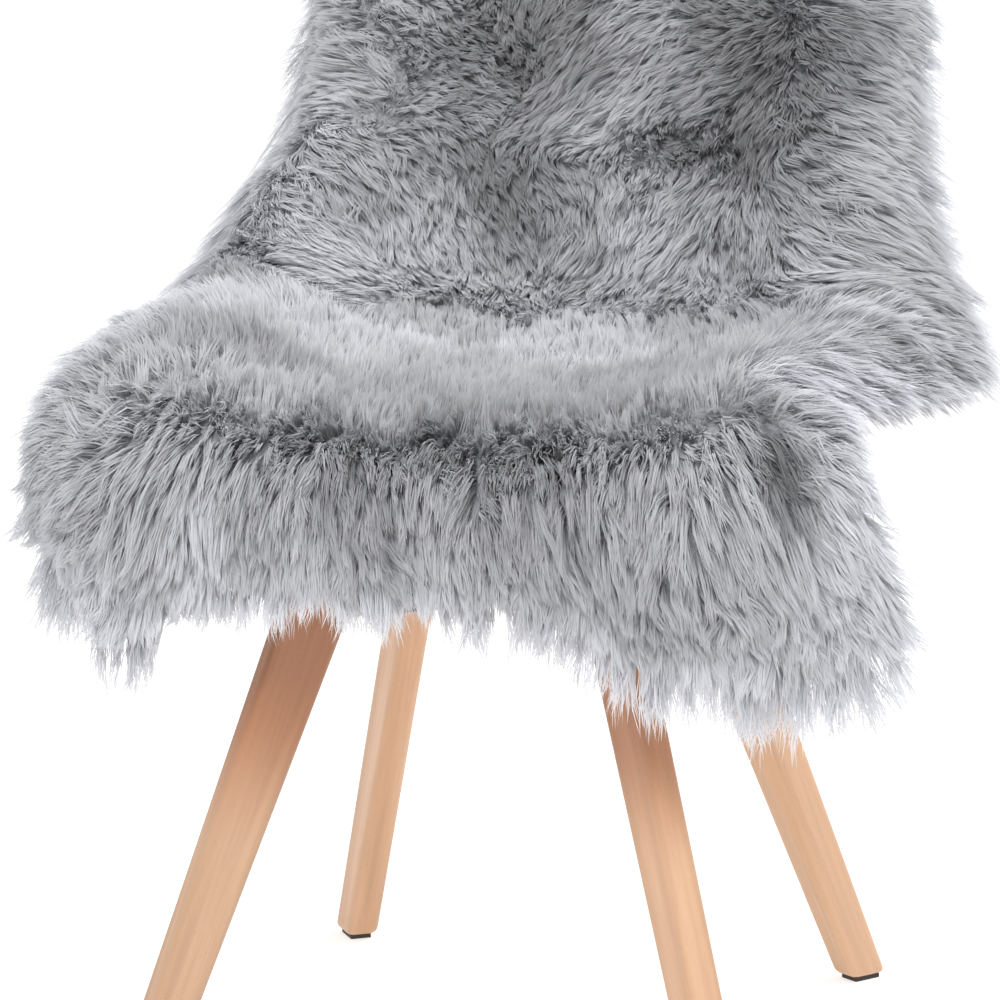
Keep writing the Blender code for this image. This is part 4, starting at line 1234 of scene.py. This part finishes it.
def beech_material(name, foot, top, painted_top_shade, painted_light_level):
    """Beech grained from foot to top, with browner painted shade on its top, painted light and shade on it
    all.
    """
    material, tree, shader = new_material(name, roughness=0.48, Specular_IOR_Level=0.4, Coat_Weight=0.08)
    place = object_place(tree)
    turn = (top - foot).to_track_quat("Z", "Y").inverted().to_euler()
    stand = add_mapping(tree, place, Rotation=turn, Location=(foot[0] * 3.0, foot[1] * 5.0, 0.0))
    long = add_mapping(tree, stand, Scale=(1.0, 1.0, GRAIN_STRETCH))
    grain = add_noise(tree, long, 190.0, 5.0, Roughness=0.6, Distortion=0.3)
    bands = add_noise(tree, long, 34.0, 2.0)
    fleck_place = add_mapping(tree, stand, Scale=(1.0, 1.0, FLECK_STRETCH))
    fleck = add_node(tree, "ShaderNodeTexVoronoi", [(fleck_place, "Vector")], Scale=560.0)
    # painted light and shade: the whole leg lighter or darker for the light it gets
    low, high = (tuple(painted_light_level * part for part in colour) for colour in BEECH_COLOURS)
    base = add_ramp(tree, bands, ((0.30, low), (0.70, high)))
    lines = add_ramp(tree, grain, ((0.32, 0.92), (0.66, 1.03)))
    dots = add_ramp(tree, fleck.outputs["Distance"], ((0.06, 0.88), (0.22, 1.0)))
    colour = add_mix(tree, "MULTIPLY", 1.0, add_mix(tree, "MULTIPLY", 1.0, base, lines), dots)
    # painted shade on the leg's top, full near the seat, with an uneven lower edge
    parts = add_node(tree, "ShaderNodeSeparateXYZ", [(place, "Vector")])
    painted_shade_height = add_node(tree, "ShaderNodeMath", [(bands, 1), (parts.outputs["Z"], 2)], operation="MULTIPLY_ADD")
    painted_shade_height.inputs[0].default_value = PAINTED_SHADE_WANDER
    colour = add_mix(tree, "MULTIPLY", painted_top_shade, colour, add_ramp(tree, painted_shade_height.outputs[0], PAINTED_SHADE_STOPS))
    tree.links.new(colour, shader.inputs["Base Color"])
    soft_edge = add_node(tree, "ShaderNodeBevel", Radius=0.003)
    add_bump(tree, shader, grain, strength=0.08, distance=0.0008, edge=soft_edge.outputs["Normal"])
    return material


def dress(node, material):
    """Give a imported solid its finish."""
    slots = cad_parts[node].data.materials
    slots.clear()
    slots.append(material)


for name, foot_x, foot_y, top_x, top_y, painted_top_shade, painted_light_level in LEG_LINES:
    foot = Vector((foot_x, foot_y, 0.0)) + Vector(PLACE)
    top = Vector((top_x, top_y, LEG_TOP)) + Vector(PLACE)
    dress(name, beech_material(f"beech_{name}", foot, top, painted_top_shade, painted_light_level))
print("four legs in beech")

# %% [markdown]
# ## Shell, underframe and foot pads
#
# The shell is moulded plastic with the faint pebbled skin of its mould. The underframe is
# powder-coated steel, and the pads are dark moulded plastic.

# %% Shell, steel and pads


def grained_material(name, low, high, roughness, scale, strength):
    """A moulded or coated face: a slight drift of colour and a fine pebbled grain."""
    material, tree, shader = new_material(name, roughness=roughness)
    place = object_place(tree)
    drift = add_ramp(tree, add_noise(tree, place, 6.0, 3.0), ((0.3, low), (0.7, high)))
    tree.links.new(drift, shader.inputs["Base Color"])
    add_bump(tree, shader, add_noise(tree, place, scale, 2.0), strength=strength, distance=0.0004)
    return material


FINISHES = (
    # how the nodes' names start, material, darker and paler colour, roughness, grain's scale and strength
    ("seat_shell", "shell", (0.76, 0.76, 0.75), (0.82, 0.82, 0.81), 0.42, 900.0, 0.20),
    ("underframe", "coated_steel", (0.022, 0.022, 0.024), (0.032, 0.032, 0.034), 0.45, 1400.0, 0.35),
    ("glide", "foot_pad", (0.030, 0.026, 0.024), (0.045, 0.040, 0.036), 0.60, 1200.0, 0.25),
)
for nodes_start, *recipe in FINISHES:
    finish = grained_material(*recipe)
    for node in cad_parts:
        if node.startswith(nodes_start):
            dress(node, finish)
print("shell, underframe and pads dressed")

# %% [markdown]
# ## Floor and light
#
# The photograph is a cut-out on white. A broad pale floor that glows a little and a bright even sky
# give that ground. Two large lamps, one above the front and one above the rear and right, give the wool
# its soft relief.

# %% Floor and light
FLOOR_HALF = 30.0
FLOOR_GREY = 0.60
FLOOR_GLOW = 0.62
SKY_STRENGTH = 0.74
LAMP_AIM = Vector((0.0, 0.0, 0.5))
LAMPS = (
    # name, place, size, power
    ("lamp_front", (0.3, -2.4, 3.0), 1.6, 84.0),
    ("lamp_top", (1.5, 0.7, 3.0), 1.8, 46.0),
)


def add_floor():
    """A wide light floor that glows a little."""
    shape = bmesh.new()
    bmesh.ops.create_grid(shape, x_segments=1, y_segments=1, size=FLOOR_HALF)
    mesh = bpy.data.meshes.new("floor")
    shape.to_mesh(mesh)
    shape.free()
    material, _, _ = new_material(
        "floor", (FLOOR_GREY,) * 3, roughness=0.9, Emission_Color=(1.0, 1.0, 1.0, 1.0),
        Emission_Strength=FLOOR_GLOW,
    )
    mesh.materials.append(material)
    floor = bpy.data.objects.new("floor", mesh)
    bpy.context.scene.collection.objects.link(floor)


def add_lights():
    """An even sky and the lamps, each turned to the seat."""
    world = bpy.data.worlds.new("studio")
    bpy.context.scene.world = world
    world.use_nodes = True
    sky = world.node_tree.nodes["Background"]
    sky.inputs["Color"].default_value = (1.0, 1.0, 1.0, 1.0)
    sky.inputs["Strength"].default_value = SKY_STRENGTH
    for name, place, size, power in LAMPS:
        data = bpy.data.lights.new(name, "AREA")
        data.size = size
        data.energy = power
        lamp = bpy.data.objects.new(name, data)
        lamp.location = place
        lamp.rotation_euler = (LAMP_AIM - Vector(place)).to_track_quat("-Z", "Y").to_euler()
        bpy.context.scene.collection.objects.link(lamp)


add_floor()
add_lights()
bpy.context.scene.view_settings.view_transform = "Standard"
